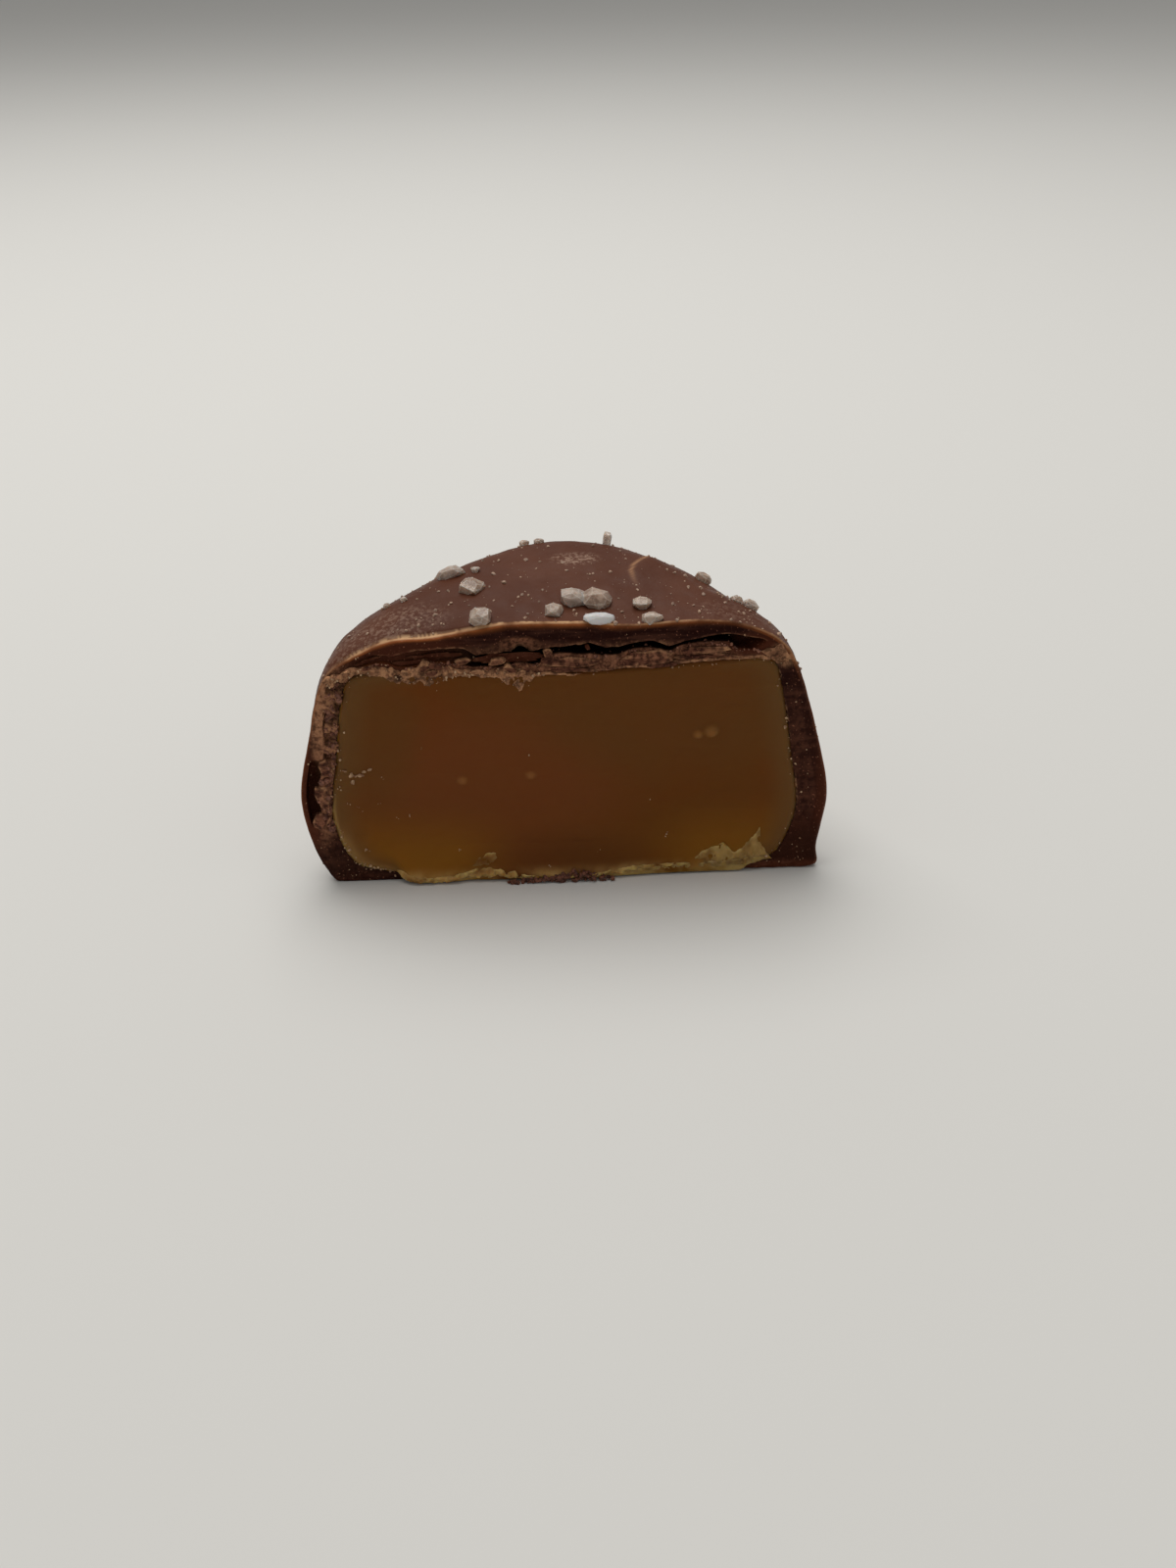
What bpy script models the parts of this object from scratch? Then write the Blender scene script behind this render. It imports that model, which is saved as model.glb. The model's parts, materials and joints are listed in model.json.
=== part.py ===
# Half of a salted caramel, cut from corner to corner.
# The whole candy is a square pillow of soft caramel dipped in milk chocolate. The knife has gone
# along the diagonal, so the half is a triangle in plan: the cut face looks along -Y, and the
# candy's fourth corner points along +Y. It stands on its flat base at z = 0.
import math
import random

import bmesh
import bpy
from mathutils import Matrix, Vector, noise

for thing in list(bpy.data.objects):
    bpy.data.objects.remove(thing, do_unlink=True)

MM = 0.001

# Frame: the middle of the cut's width and the cut plane, from the centre of the object's box
CENTRE_X = 0.675 * MM
CUT_Y = -10.25 * MM

# Profiles of the outside, from the base up to the crown, as (reach, height) in millimetres.
# Reach is measured from the upright line through the middle of the cut: to the right end of
# the cut, to the left end, and to the far corner.
RIGHT_END = ((18.9, 0.0), (19.7, 0.4), (19.6, 2.2), (20.2, 6.9), (19.1, 12.3), (17.6, 17.5),
             (16.1, 20.1), (13.3, 21.5), (10.0, 22.0), (4.6, 21.8), (0.0, 22.1))
LEFT_END = ((18.8, 0.0), (19.6, 0.4), (20.9, 3.3), (21.55, 8.0), (20.4, 13.3), (19.3, 17.3),
            (17.4, 19.3), (14.0, 20.9), (10.4, 21.2), (5.2, 22.1), (0.0, 22.1))
FAR_CORNER = ((19.8, 0.0), (20.6, 0.5), (20.5, 2.7), (21.6, 7.5), (21.1, 12.5), (20.6, 17.8),
              (18.6, 20.7), (14.0, 23.5), (10.0, 23.7), (5.0, 23.0), (0.0, 22.1))
# The level counts the points of a profile from the base, 0, to the crown
LEVELS_UP = len(RIGHT_END) - 1

# Plan of the coat: the reach of its corners, and how soft they are, low on the wall and round
# the crown. The left end of the cut is softer than the right.
COAT_REACH = 20.5
CORNER_SOFT = 3.4
CROWN_SOFT = 9.0
LEFT_SOFTER = 1.35
# How fast the profile turns from an end of the cut into the far corner's
RIGHT_TURN = 1.3
LEFT_TURN = 0.6
# Upright waves that the dipped chocolate set in
WAVE = 0.20

# Profiles of the caramel, in the same way
CORE_RIGHT = ((14.6, 0.9), (16.4, 2.0), (17.6, 5.7), (17.1, 10.2), (16.1, 16.4), (15.2, 18.5),
              (12.5, 18.6), (6.5, 18.2), (0.0, 17.9))
CORE_LEFT = ((15.0, 0.9), (17.8, 2.0), (19.1, 6.0), (18.5, 10.5), (17.7, 15.8), (16.6, 18.0),
             (13.0, 18.2), (6.5, 17.9), (0.0, 17.9))
CORE_CORNER = ((15.2, 0.9), (17.2, 2.0), (18.4, 6.2), (18.1, 10.5), (17.5, 16.0), (16.2, 18.2),
               (12.5, 18.7), (6.5, 18.4), (0.0, 17.9))
CORE_LEVELS_UP = len(CORE_RIGHT) - 1
CORE_REACH = 18.3
CORE_SOFT = 3.0
GAP = 0.3
# How far the hollow for the caramel runs out through the cut
HOLLOW_AHEAD = 2.0

# The caramel's cut face closes in rings about its middle, (x, height), each a share of the way in
FACE_MIDDLE = (0.0, 9.5)
FACE_RINGS = (0.01, 0.03, 0.06, 0.10, 0.16, 0.26, 0.40, 0.60, 0.82)
# The knife dragged a lip of caramel down over the base's edge: (forward, height) of its rings
LIP = ((0.36, 0.86), (0.42, 0.25), (0.80, 0.10), (1.00, 0.55), (0.78, 1.3), (0.40, 2.2),
       (0.12, 3.2))
LIP_FROM = -15.0
LIP_TO = 14.6
LIP_FADE = 2.6

# The top of the coat has split: (x, height) along the crack's ceiling and floor in the cut face
CEILING = ((-18.2, 18.7), (-16.8, 19.4), (-15.5, 19.9), (-13.7, 19.75), (-10.4, 20.2),
           (-8.0, 20.2), (-7.4, 19.6), (-6.0, 19.75), (-4.6, 19.9), (-4.15, 20.3), (-3.6, 20.3),
           (-3.2, 19.9), (-1.7, 20.05), (0.7, 20.3), (1.3, 20.45), (2.6, 20.0), (3.6, 20.0),
           (5.9, 20.5), (7.4, 20.0), (9.7, 20.5), (11.2, 20.85), (12.7, 20.8), (14.7, 20.3),
           (15.6, 19.9))
FLOOR = ((-18.2, 18.4), (-17.5, 18.5), (-15.9, 18.9), (-14.3, 19.2), (-13.2, 18.75),
         (-12.5, 18.7), (-10.6, 19.1), (-8.8, 18.95), (-7.6, 18.6), (-5.4, 18.6), (-3.6, 18.9),
         (-2.9, 18.6), (-2.1, 19.05), (-1.3, 19.6), (0.4, 19.5), (1.6, 19.5), (2.2, 19.25),
         (3.5, 19.3), (4.2, 19.65), (5.9, 19.9), (7.4, 19.45), (8.3, 20.0), (12.0, 20.2),
         (12.6, 19.55), (14.8, 19.4), (15.6, 19.7))
CRACK_DEPTH = 3.2
CRACK_ROUGH = 0.10
CRACK_STEPS = 68
# The crack is never lower than this at the face, it opens fully over so many steps at each end,
# and it runs to a blunt edge at the back
CRACK_LEAST = 0.12
CRACK_FADE = 4.0
CRACK_BACK_EDGE = 0.12

# Plates that broke off the layer below the crack: (x, height, width, thickness, tilt in degrees)
PLATE_DEPTH = 1.6
PLATE_LEAN = 6
FLAKES = ((-12.2, 19.0, 3.2, 0.45, -6), (-8.6, 18.9, 2.6, 0.40, 7), (-1.6, 19.2, 3.0, 0.40, 4),
          (1.6, 19.3, 2.4, 0.36, -9), (4.6, 19.3, 3.4, 0.42, 5), (8.0, 19.5, 2.6, 0.36, 8),
          (11.2, 19.8, 3.6, 0.44, 3))

# A pocket between the left wall's outer skin and its crumbly inside
POCKET_X = -20.50
POCKET_Z = 7.4
POCKET_SIZE = (0.52, 1.4, 3.5)
POCKET_LEAN = -2.0

# Salt crystals that show from the cut's side: (turn in degrees, level, length, width, height,
# spin in degrees). The turn runs from the right end of the cut round to the left end.
SALT = ((145, 8.05, 1.90, 1.70, 1.05, 10), (172, 8.65, 1.60, 1.50, 1.20, 5),
        (84, 9.35, 1.90, 1.80, 1.30, 15), (57, 9.20, 2.20, 1.90, 1.35, 40),
        (127, 9.55, 1.50, 1.20, 0.90, 25), (14, 9.52, 2.20, 1.05, 0.80, 74),
        (25, 8.65, 1.40, 1.10, 0.80, 63), (6, 8.70, 1.60, 1.00, 0.80, 84),
        (139, 7.15, 2.10, 1.20, 1.05, -50), (104, 6.95, 0.80, 0.60, 0.60, 10),
        (99, 7.00, 0.80, 0.60, 0.50, 0), (76, 7.00, 0.65, 0.55, 1.60, 0),
        (39, 6.55, 1.30, 0.90, 0.95, 52), (23, 6.45, 0.90, 0.75, 0.70, 66),
        (19, 6.35, 1.25, 0.95, 0.95, 71), (159, 6.60, 0.65, 0.55, 0.50, 20),
        (158, 6.90, 0.60, 0.50, 0.45, 50), (132, 7.55, 0.65, 0.55, 0.45, 0))
SALT_SEED = 41
SALT_ON_WALLS = 26
SALT_APART = 1.6
SALT_SINK = 0.34

# How finely the two solids are divided: steps round the half turn and up the profile
COAT_STEPS = (56, 35)
CORE_STEPS = (30, 24)

COAT_COLOUR = (0.105, 0.047, 0.031)
CARAMEL_COLOUR = (0.170, 0.066, 0.016)


def material(name, colour, roughness, subsurface=0.0):
    """A Principled material with one colour."""
    made = bpy.data.materials.new(name)
    made.use_nodes = True
    shader = made.node_tree.nodes["Principled BSDF"]
    shader.inputs["Base Color"].default_value = (*colour, 1.0)
    shader.inputs["Roughness"].default_value = roughness
    shader.inputs["Metallic"].default_value = 0.0
    shader.inputs["Subsurface Weight"].default_value = subsurface
    return made


def new_collection(name):
    made = bpy.data.collections.new(name)
    bpy.context.scene.collection.children.link(made)
    return made


def new_object(name, mesh_data, collection, finish=None):
    """Turn mesh data in millimetres about the cut's middle into an object in the frame."""
    mesh = bpy.data.meshes.new(name)
    mesh_data.transform(Matrix.Translation((CENTRE_X, CUT_Y, 0.0)) @ Matrix.Scale(MM, 4))
    mesh_data.to_mesh(mesh)
    mesh_data.free()
    made = bpy.data.objects.new(name, mesh)
    collection.objects.link(made)
    if finish:
        mesh.materials.append(finish)
    return made


def smooth(share):
    """A share of the way from 0 to 1, eased at both ends."""
    share = min(max(share, 0.0), 1.0)
    return share * share * (3.0 - 2.0 * share)


def along(stations, place):
    """The value at a place between stations of (place, value)."""
    for low, high in zip(stations, stations[1:]):
        if place <= high[0]:
            share = min(max((place - low[0]) / (high[0] - low[0]), 0.0), 1.0)
            return low[1] + (high[1] - low[1]) * smooth(share)
    return stations[-1][1]


def on_profile(points, level):
    """A smooth curve through the profile's points: the level counts them from the base."""
    last = len(points) - 1
    start = min(int(level), last - 1)
    share = level - start
    p1, p2 = points[start], points[start + 1]
    p0 = points[start - 1] if start > 0 else (2 * p1[0] - p2[0], 2 * p1[1] - p2[1])
    p3 = points[start + 2] if start + 2 <= last else (-p1[0], p1[1])
    return [0.5 * (2 * b + (c - a) * share + (2 * a - 5 * b + 4 * c - d) * share ** 2
                   + (3 * b - a - 3 * c + d) * share ** 3)
            for a, b, c, d in zip(p0, p1, p2, p3)]


def corner_share(turn, soft, reach):
    """Share of a corner's reach in the direction of turn, on a square with soft corners."""
    k = math.hypot(reach, soft) + soft
    inner = k * k * (k * k - 4.0 * soft * soft)
    square = inner / (k * k + math.sqrt(max(k ** 4 - math.cos(2.0 * turn) ** 2 * inner, 0.0)))
    return math.sqrt(square) / reach


def turned_profile(turn, level, right, left, corner):
    """Reach and height where the profile of one end gives way to the far corner's."""
    on_right = turn < math.pi / 2
    blend = max(math.sin(turn), 0.0) ** (RIGHT_TURN if on_right else LEFT_TURN)
    end = on_profile(right if on_right else left, level)
    far = on_profile(corner, level)
    return [a + (b - a) * blend for a, b in zip(end, far)]


def coat_point(turn, level):
    """A point on the outside of the chocolate."""
    reach, height = turned_profile(turn, level, RIGHT_END, LEFT_END, FAR_CORNER)
    soft = CORNER_SOFT + (CROWN_SOFT - CORNER_SOFT) * smooth((level - 3.5) / 2.5)
    soft *= LEFT_SOFTER if turn > math.pi / 2 else 1.0
    away_from_cut = smooth(math.sin(turn) / 0.35)
    on_wall = smooth((level - 0.5) / 2.0) * smooth((8.2 - level) / 3.0)
    wave = math.sin(7.0 * turn + 0.9) + 0.7 * math.sin(12.0 * turn + 0.5 * level + 2.0)
    reach = reach * corner_share(turn, soft, COAT_REACH) + WAVE * wave * away_from_cut * on_wall
    return Vector((reach * math.cos(turn), reach * math.sin(turn), height))


def core_point(turn, level, grow=0.0):
    """A point on the caramel, or on the hollow round it where it grows by the gap."""
    ends = (CORE_RIGHT, CORE_LEFT, CORE_CORNER)
    reach, height = turned_profile(turn, level, *ends)
    below = turned_profile(turn, max(level - 0.05, 0.0), *ends)
    above = turned_profile(turn, min(level + 0.05, CORE_LEVELS_UP), *ends)
    outward = Vector((above[1] - below[1], below[0] - above[0])).normalized()
    reach = max(reach * corner_share(turn, CORE_SOFT, CORE_REACH) + grow * outward.x, 0.0)
    height += grow * outward.y
    return Vector((reach * math.cos(turn), reach * math.sin(turn), height))


def loft_half(point, steps, top, reach_forward=0.0, base_steps=1):
    """Loft upright profiles round half a turn, closed by a flat base. It returns the mesh and
    the loop of its open front, from the right foot over the crown to the left foot and back."""
    turns = [math.pi * step / steps[0] for step in range(steps[0] + 1)]
    levels = [top * step / steps[1] for step in range(steps[1] + 1)]
    mesh = bmesh.new()
    columns = []
    for turn in turns:
        columns.append([mesh.verts.new(point(turn, level)) for level in levels[:-1]])
    crown = mesh.verts.new(point(0.0, levels[-1]))
    for first, second in zip(columns, columns[1:]):
        for low in range(len(first) - 1):
            mesh.faces.new((first[low], second[low], second[low + 1], first[low + 1]))
        mesh.faces.new((first[-1], second[-1], crown))
    right, left = columns[0], columns[-1]
    floor = [left[0].co.lerp(right[0].co, step / base_steps) for step in range(1, base_steps)]
    floor = [mesh.verts.new(spot) for spot in floor]
    mesh.faces.new([column[0] for column in reversed(columns)] + list(reversed(floor)))
    loop = right + [crown] + left[::-1] + floor
    if reach_forward:
        ahead = [mesh.verts.new(vert.co - Vector((0, reach_forward, 0))) for vert in loop]
        for step, vert in enumerate(loop):
            after = (step + 1) % len(loop)
            mesh.faces.new((ahead[step], vert, loop[after], ahead[after]))
        loop = ahead
    return mesh, loop


def lip_weight(x):
    return smooth((x - LIP_FROM) / LIP_FADE) * smooth((LIP_TO - x) / LIP_FADE)


def caramel_front(mesh, loop):
    """Close the caramel's front with rings that shrink to its middle, the low ones drawn out
    into the lip."""
    middle = Vector((FACE_MIDDLE[0], 0.0, FACE_MIDDLE[1]))
    outer = loop
    for index, share in enumerate(FACE_RINGS):
        inner = []
        for vert in loop:
            spot = vert.co.lerp(middle, share)
            low = smooth((1.6 - vert.co.z) / 0.7) * lip_weight(vert.co.x)
            if index < len(LIP) and low > 0.0:
                uneven = 0.85 + 0.3 * noise.noise(Vector((vert.co.x * 0.45, index * 0.2, 3.0)))
                drawn = Vector((spot.x, -LIP[index][0] * uneven, LIP[index][1]))
                spot = spot.lerp(drawn, low)
            inner.append(mesh.verts.new(spot))
        for step in range(len(loop)):
            after = (step + 1) % len(loop)
            mesh.faces.new((outer[step], outer[after], inner[after], inner[step]))
        outer = inner
    mesh.faces.new(outer)


def crack_cutter():
    """The split as an uneven wedge that narrows towards its back and its two ends."""
    mesh = bmesh.new()
    start, end = FLOOR[0][0], FLOOR[-1][0]
    sections = []
    for step in range(CRACK_STEPS + 1):
        x = start + (end - start) * step / CRACK_STEPS
        inside = smooth(step / CRACK_FADE) * smooth((CRACK_STEPS - step) / CRACK_FADE)
        rough = [CRACK_ROUGH * inside * noise.noise(Vector((x * 1.7, row, 0.5))) for row in (2, 7)]
        floor = along(FLOOR, x) + rough[0]
        ceiling = max(along(CEILING, x) + rough[1], floor + CRACK_LEAST)
        wander = noise.noise(Vector((x * 0.5, 9.0, 1.0)))
        depth = CRACK_DEPTH * (0.3 + 0.7 * inside) * (0.85 + 0.3 * wander)
        back = 0.55 * floor + 0.45 * ceiling
        sections.append([mesh.verts.new(spot) for spot in
                         ((x, -1.0, floor), (x, 0.4, floor),
                          (x, depth, back - CRACK_BACK_EDGE / 2),
                          (x, depth, back + CRACK_BACK_EDGE / 2),
                          (x, 0.4, ceiling), (x, -1.0, ceiling))])
    for first, second in zip(sections, sections[1:]):
        for side in range(len(first)):
            after = (side + 1) % len(first)
            mesh.faces.new((first[side], first[after], second[after], second[side]))
    mesh.faces.new(sections[0][::-1])
    mesh.faces.new(sections[-1])
    bmesh.ops.recalc_face_normals(mesh, faces=mesh.faces)
    return mesh


def pocket_cutter():
    """A narrow almond-shaped hollow."""
    mesh = bmesh.new()
    bmesh.ops.create_icosphere(mesh, subdivisions=2, radius=1.0)
    place = Matrix.Translation((POCKET_X, 0.0, POCKET_Z))
    lean = Matrix.Rotation(math.radians(POCKET_LEAN), 4, "Y")
    mesh.transform(place @ lean @ Matrix.Diagonal((*POCKET_SIZE, 1.0)))
    return mesh


def flake(x, height, width, thickness, tilt, seed):
    """A broken plate, its edge uneven, which leans a little out of the layer."""
    draw = random.Random(seed)
    mesh = bmesh.new()
    bmesh.ops.create_cube(mesh, size=1.0)
    bmesh.ops.subdivide_edges(mesh, edges=mesh.edges[:], cuts=1, use_grid_fill=True)
    for vert in mesh.verts:
        vert.co.x += draw.uniform(-0.10, 0.10)
        vert.co.z += draw.uniform(-0.22, 0.22)
        if vert.co.y < 0.0:
            vert.co.y += draw.uniform(-0.02, 0.12)
    place = Matrix.Translation((x, PLATE_DEPTH / 2 - 0.05, height - 0.12))
    tilted = Matrix.Rotation(math.radians(tilt), 4, "Y")
    leaning = Matrix.Rotation(math.radians(PLATE_LEAN), 4, "X")
    mesh.transform(place @ tilted @ leaning @ Matrix.Diagonal((width, PLATE_DEPTH, thickness, 1.0)))
    return mesh


def surface_frame(turn, level):
    """Place and axes on the outside of the coat: along the turn, up the profile, outwards."""
    step = 0.01
    here = coat_point(turn, level)
    side = coat_point(turn + step, level) - coat_point(turn - step, level)
    up = coat_point(turn, min(level + step, LEVELS_UP)) - coat_point(turn, level - step)
    out = side.cross(up).normalized()
    side.normalize()
    return here, side, out.cross(side), out


def crystal(turn, level, length, width, height, spin, seed):
    """A salt crystal: a blocky hull with jittered corners, sunk a little into the chocolate."""
    draw = random.Random(seed)
    mesh = bmesh.new()
    bmesh.ops.create_icosphere(mesh, subdivisions=1, radius=0.5)
    for vert in mesh.verts:
        longest = max(abs(part) for part in vert.co)
        vert.co *= (0.5 / longest) ** 0.55 * draw.uniform(0.86, 1.10)
    tilt = Matrix.Rotation(draw.uniform(-0.3, 0.3), 3, "X")
    bmesh.ops.rotate(mesh, verts=mesh.verts, matrix=tilt)
    hull = bmesh.ops.convex_hull(mesh, input=mesh.verts)
    inside = [item for item in hull["geom_interior"] if isinstance(item, bmesh.types.BMVert)]
    bmesh.ops.delete(mesh, geom=inside, context="VERTS")
    here, side, up, out = surface_frame(turn, level)
    axes = Matrix((side, up, out)).transposed().to_4x4()
    lift = out * height * (0.5 - SALT_SINK)
    mesh.transform(Matrix.Translation(here + lift) @ axes @ Matrix.Rotation(spin, 4, "Z")
                   @ Matrix.Diagonal((length, width, height, 1.0)))
    return mesh


def all_salt():
    """The crystals that show from the cut's side, then more by a seeded rule on the walls."""
    listed = [(math.radians(turn), level, *size, math.radians(spin))
              for turn, level, *size, spin in SALT]
    draw = random.Random(SALT_SEED)
    while len(listed) < len(SALT) + SALT_ON_WALLS:
        turn = math.radians(draw.uniform(25.0, 155.0))
        level = draw.choice((draw.uniform(1.7, 2.6), draw.uniform(2.6, 5.4)))
        size = draw.uniform(0.8, 1.6)
        spot = coat_point(turn, level)
        if all((spot - coat_point(*other[:2])).length > SALT_APART for other in listed):
            shape = (size, size * draw.uniform(0.6, 0.95), size * draw.uniform(0.45, 0.8))
            listed.append((turn, level, *shape, draw.uniform(0.0, math.pi)))
    return listed


def cut_out(target, cutter):
    """Take a cutter away from the target and apply it."""
    bite = target.modifiers.new(cutter.name, "BOOLEAN")
    bite.operation = "DIFFERENCE"
    bite.solver = "EXACT"
    bite.object = cutter
    apply_modifiers(target)


def apply_modifiers(target):
    """Put the evaluated mesh in place of the target's own."""
    bpy.context.view_layer.update()
    evaluated = target.evaluated_get(bpy.context.evaluated_depsgraph_get())
    made = bpy.data.meshes.new_from_object(evaluated)
    old = target.data
    target.modifiers.clear()
    target.data = made
    bpy.data.meshes.remove(old)


def join_all(target, pieces):
    """Join a collection's solids to the target, then remove them."""
    union = target.modifiers.new("join", "BOOLEAN")
    union.operation = "UNION"
    union.solver = "EXACT"
    union.operand_type = "COLLECTION"
    union.collection = pieces
    apply_modifiers(target)
    for piece in list(pieces.objects):
        bpy.data.objects.remove(piece, do_unlink=True)
    bpy.data.collections.remove(pieces)


def hide_as_cutter(thing):
    thing.hide_render = True
    thing.display_type = "WIRE"


candy = new_collection("salted_caramel_half")
cutters = new_collection("cutters")
chocolate = material("milk_chocolate", COAT_COLOUR, 0.5)
soft_caramel = material("soft_caramel", CARAMEL_COLOUR, 0.35, subsurface=0.2)

# Chocolate coat
coat_mesh, coat_loop = loft_half(coat_point, COAT_STEPS, LEVELS_UP)
coat_mesh.faces.new(coat_loop)
coat = new_object("chocolate_coat", coat_mesh, candy, chocolate)

# The hollow for the caramel, the crack and the pocket
hollow_mesh, hollow_loop = loft_half(lambda turn, level: core_point(turn, level, GAP),
                                     CORE_STEPS, CORE_LEVELS_UP, reach_forward=HOLLOW_AHEAD)
hollow_mesh.faces.new(hollow_loop)
hollow = new_object("hollow_cutter", hollow_mesh, cutters)
crack = new_object("crack_cutter", crack_cutter(), cutters)
pocket = new_object("pocket_cutter", pocket_cutter(), cutters)
for cutter in (hollow, crack, pocket):
    hide_as_cutter(cutter)
    cut_out(coat, cutter)

# Plates and salt, fused to the coat
loose = new_collection("fused_pieces")
for index, plate in enumerate(FLAKES):
    new_object(f"flake_{index}", flake(*plate, seed=300 + index), loose)
for index, grain in enumerate(all_salt()):
    new_object(f"salt_{index}", crystal(*grain, seed=500 + index), loose)
join_all(coat, loose)

# Caramel
caramel_mesh, caramel_loop = loft_half(core_point, CORE_STEPS, CORE_LEVELS_UP, base_steps=24)
caramel_front(caramel_mesh, caramel_loop)
caramel = new_object("caramel_centre", caramel_mesh, candy, soft_caramel)
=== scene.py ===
# %% [markdown]
# Half of a salted caramel, cut from corner to corner.
# The real candy is a soft caramel square that was dipped in milk chocolate, sprinkled with coarse
# salt and cut with a knife. The construction is loaded first as a fixed frame, and every visible
# piece is then built round it, in metres, in the same place. The loaded solids are right in size
# but plain, so each one is replaced by a finer surface that follows the same profiles.

# %% Load the frame
import json
import math
import random

import bmesh
import bpy
import numpy as np
from mathutils import Matrix, Vector

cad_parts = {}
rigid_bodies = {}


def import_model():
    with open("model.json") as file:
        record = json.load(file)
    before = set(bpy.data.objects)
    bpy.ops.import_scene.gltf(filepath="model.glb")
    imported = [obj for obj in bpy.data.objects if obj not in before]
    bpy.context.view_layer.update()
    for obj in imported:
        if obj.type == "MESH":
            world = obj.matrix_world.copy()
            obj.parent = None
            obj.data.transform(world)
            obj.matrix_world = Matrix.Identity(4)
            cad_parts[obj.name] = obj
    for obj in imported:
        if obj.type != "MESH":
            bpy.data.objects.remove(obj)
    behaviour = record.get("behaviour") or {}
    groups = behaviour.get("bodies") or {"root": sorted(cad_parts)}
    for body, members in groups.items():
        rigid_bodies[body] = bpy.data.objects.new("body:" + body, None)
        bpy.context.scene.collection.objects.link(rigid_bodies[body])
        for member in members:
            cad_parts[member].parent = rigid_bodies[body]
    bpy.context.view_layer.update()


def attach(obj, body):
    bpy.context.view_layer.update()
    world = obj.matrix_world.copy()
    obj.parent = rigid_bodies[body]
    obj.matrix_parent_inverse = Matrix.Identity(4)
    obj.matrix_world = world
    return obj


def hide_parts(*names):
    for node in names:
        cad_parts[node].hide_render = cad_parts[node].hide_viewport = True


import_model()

MM = 0.001
# The middle of the cut's foot, in mm in the frame. All the profiles are measured from it.
CENTRE_X, CUT_Y = 0.675, -10.25


# %% [markdown]
# The camera looks down on the cut from the front, as a hand-held phone camera does. Its place is
# worked out backwards: one pixel of the picture shows the middle of the cut's foot, so the camera
# stands at the right distance on the line through that pixel. A small yaw and roll are kept,
# because without them the cut's lower edge would not have the picture's slight slope.

# %% Camera
IMAGE_WIDTH, IMAGE_HEIGHT = 1200, 1600
FOOT_PIXEL = (587.45, 889.25)
FOOT_HEIGHT = 0.3
LENS, SENSOR = 40.0, 36.0
PITCH, YAW, ROLL = math.radians(28.0), math.radians(1.9), math.radians(-0.8)
DISTANCE = 141.5
CLIP_START = 0.005


def place_camera():
    """A portrait camera whose FOOT_PIXEL shows the middle of the cut's foot."""
    ahead = Vector((math.sin(YAW) * math.cos(PITCH), math.cos(YAW) * math.cos(PITCH), -math.sin(PITCH)))
    level = Vector((math.cos(YAW), -math.sin(YAW), 0.0))
    above = level.cross(ahead)
    right = math.cos(ROLL) * level + math.sin(ROLL) * above
    up = math.cos(ROLL) * above - math.sin(ROLL) * level
    focal = LENS / SENSOR * IMAGE_HEIGHT
    across = (FOOT_PIXEL[0] - IMAGE_WIDTH / 2) / focal
    down = (FOOT_PIXEL[1] - IMAGE_HEIGHT / 2) / focal
    ray = ahead + right * across - up * down
    foot = Vector((CENTRE_X, CUT_Y, FOOT_HEIGHT))
    data = bpy.data.cameras.new("camera")
    data.lens, data.sensor_fit, data.sensor_height = LENS, "VERTICAL", SENSOR
    data.clip_start = CLIP_START
    camera = bpy.data.objects.new("camera", data)
    turn = Matrix((right, up, -ahead)).transposed().to_4x4()
    camera.matrix_world = Matrix.Translation((foot - ray * DISTANCE) * MM) @ turn
    bpy.context.scene.collection.objects.link(camera)
    bpy.context.scene.camera = camera
    return camera


camera = place_camera()
print("camera at, in mm:", [round(value / MM, 1) for value in camera.matrix_world.translation])

# %% [markdown]
# The stage is a wide pale floor that ends past the horizon of the picture. A large soft lamp hangs
# above and a little behind the candy, so the top is bright and the cut face lies in open shade,
# lit mostly by the floor. That soft contrast is what makes the lip of the coat stand out.

# %% Floor and light
FLOOR_SIZE = 8.0
FLOOR_COLOUR = (0.655, 0.648, 0.622)
FLOOR_ROUGHNESS = 0.9
SKY_COLOUR = (1.0, 0.99, 0.97)
SKY_STRENGTH = 0.34
LAMP_PLACE = (-0.07, 0.17, 0.52)
LAMP_SIZE = 0.52
LAMP_POWER = 2.75
LAMP_COLOUR = (1.0, 0.985, 0.96)


def new_material(name, colour, roughness):
    """A Principled material and the parts of its tree that the finishes add to."""
    made = bpy.data.materials.new(name)
    made.use_nodes = True
    shader = made.node_tree.nodes["Principled BSDF"]
    shader.inputs["Base Color"].default_value = (*colour, 1.0)
    shader.inputs["Roughness"].default_value = roughness
    return made, made.node_tree, shader


def make_floor():
    edge = FLOOR_SIZE / 2
    corners = [(-edge, -edge, 0), (edge, -edge, 0), (edge, edge, 0), (-edge, edge, 0)]
    mesh = bpy.data.meshes.new("floor")
    mesh.from_pydata(corners, [], [(0, 1, 2, 3)])
    mesh.materials.append(new_material("floor_paper", FLOOR_COLOUR, FLOOR_ROUGHNESS)[0])
    floor = bpy.data.objects.new("floor", mesh)
    bpy.context.scene.collection.objects.link(floor)


def make_lamp():
    """A large square lamp that faces the candy."""
    data = bpy.data.lights.new("top_lamp", "AREA")
    data.size, data.energy, data.color = LAMP_SIZE, LAMP_POWER, LAMP_COLOUR
    lamp = bpy.data.objects.new("top_lamp", data)
    lamp.location = LAMP_PLACE
    lamp.rotation_euler = (-Vector(LAMP_PLACE)).to_track_quat("-Z", "Y").to_euler()
    bpy.context.scene.collection.objects.link(lamp)


def make_room():
    """A pale room, which lights the candy from all sides."""
    world = bpy.data.worlds.new("room")
    world.use_nodes = True
    light = world.node_tree.nodes["Background"]
    light.inputs["Color"].default_value = (*SKY_COLOUR, 1.0)
    light.inputs["Strength"].default_value = SKY_STRENGTH
    bpy.context.scene.world = world


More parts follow.
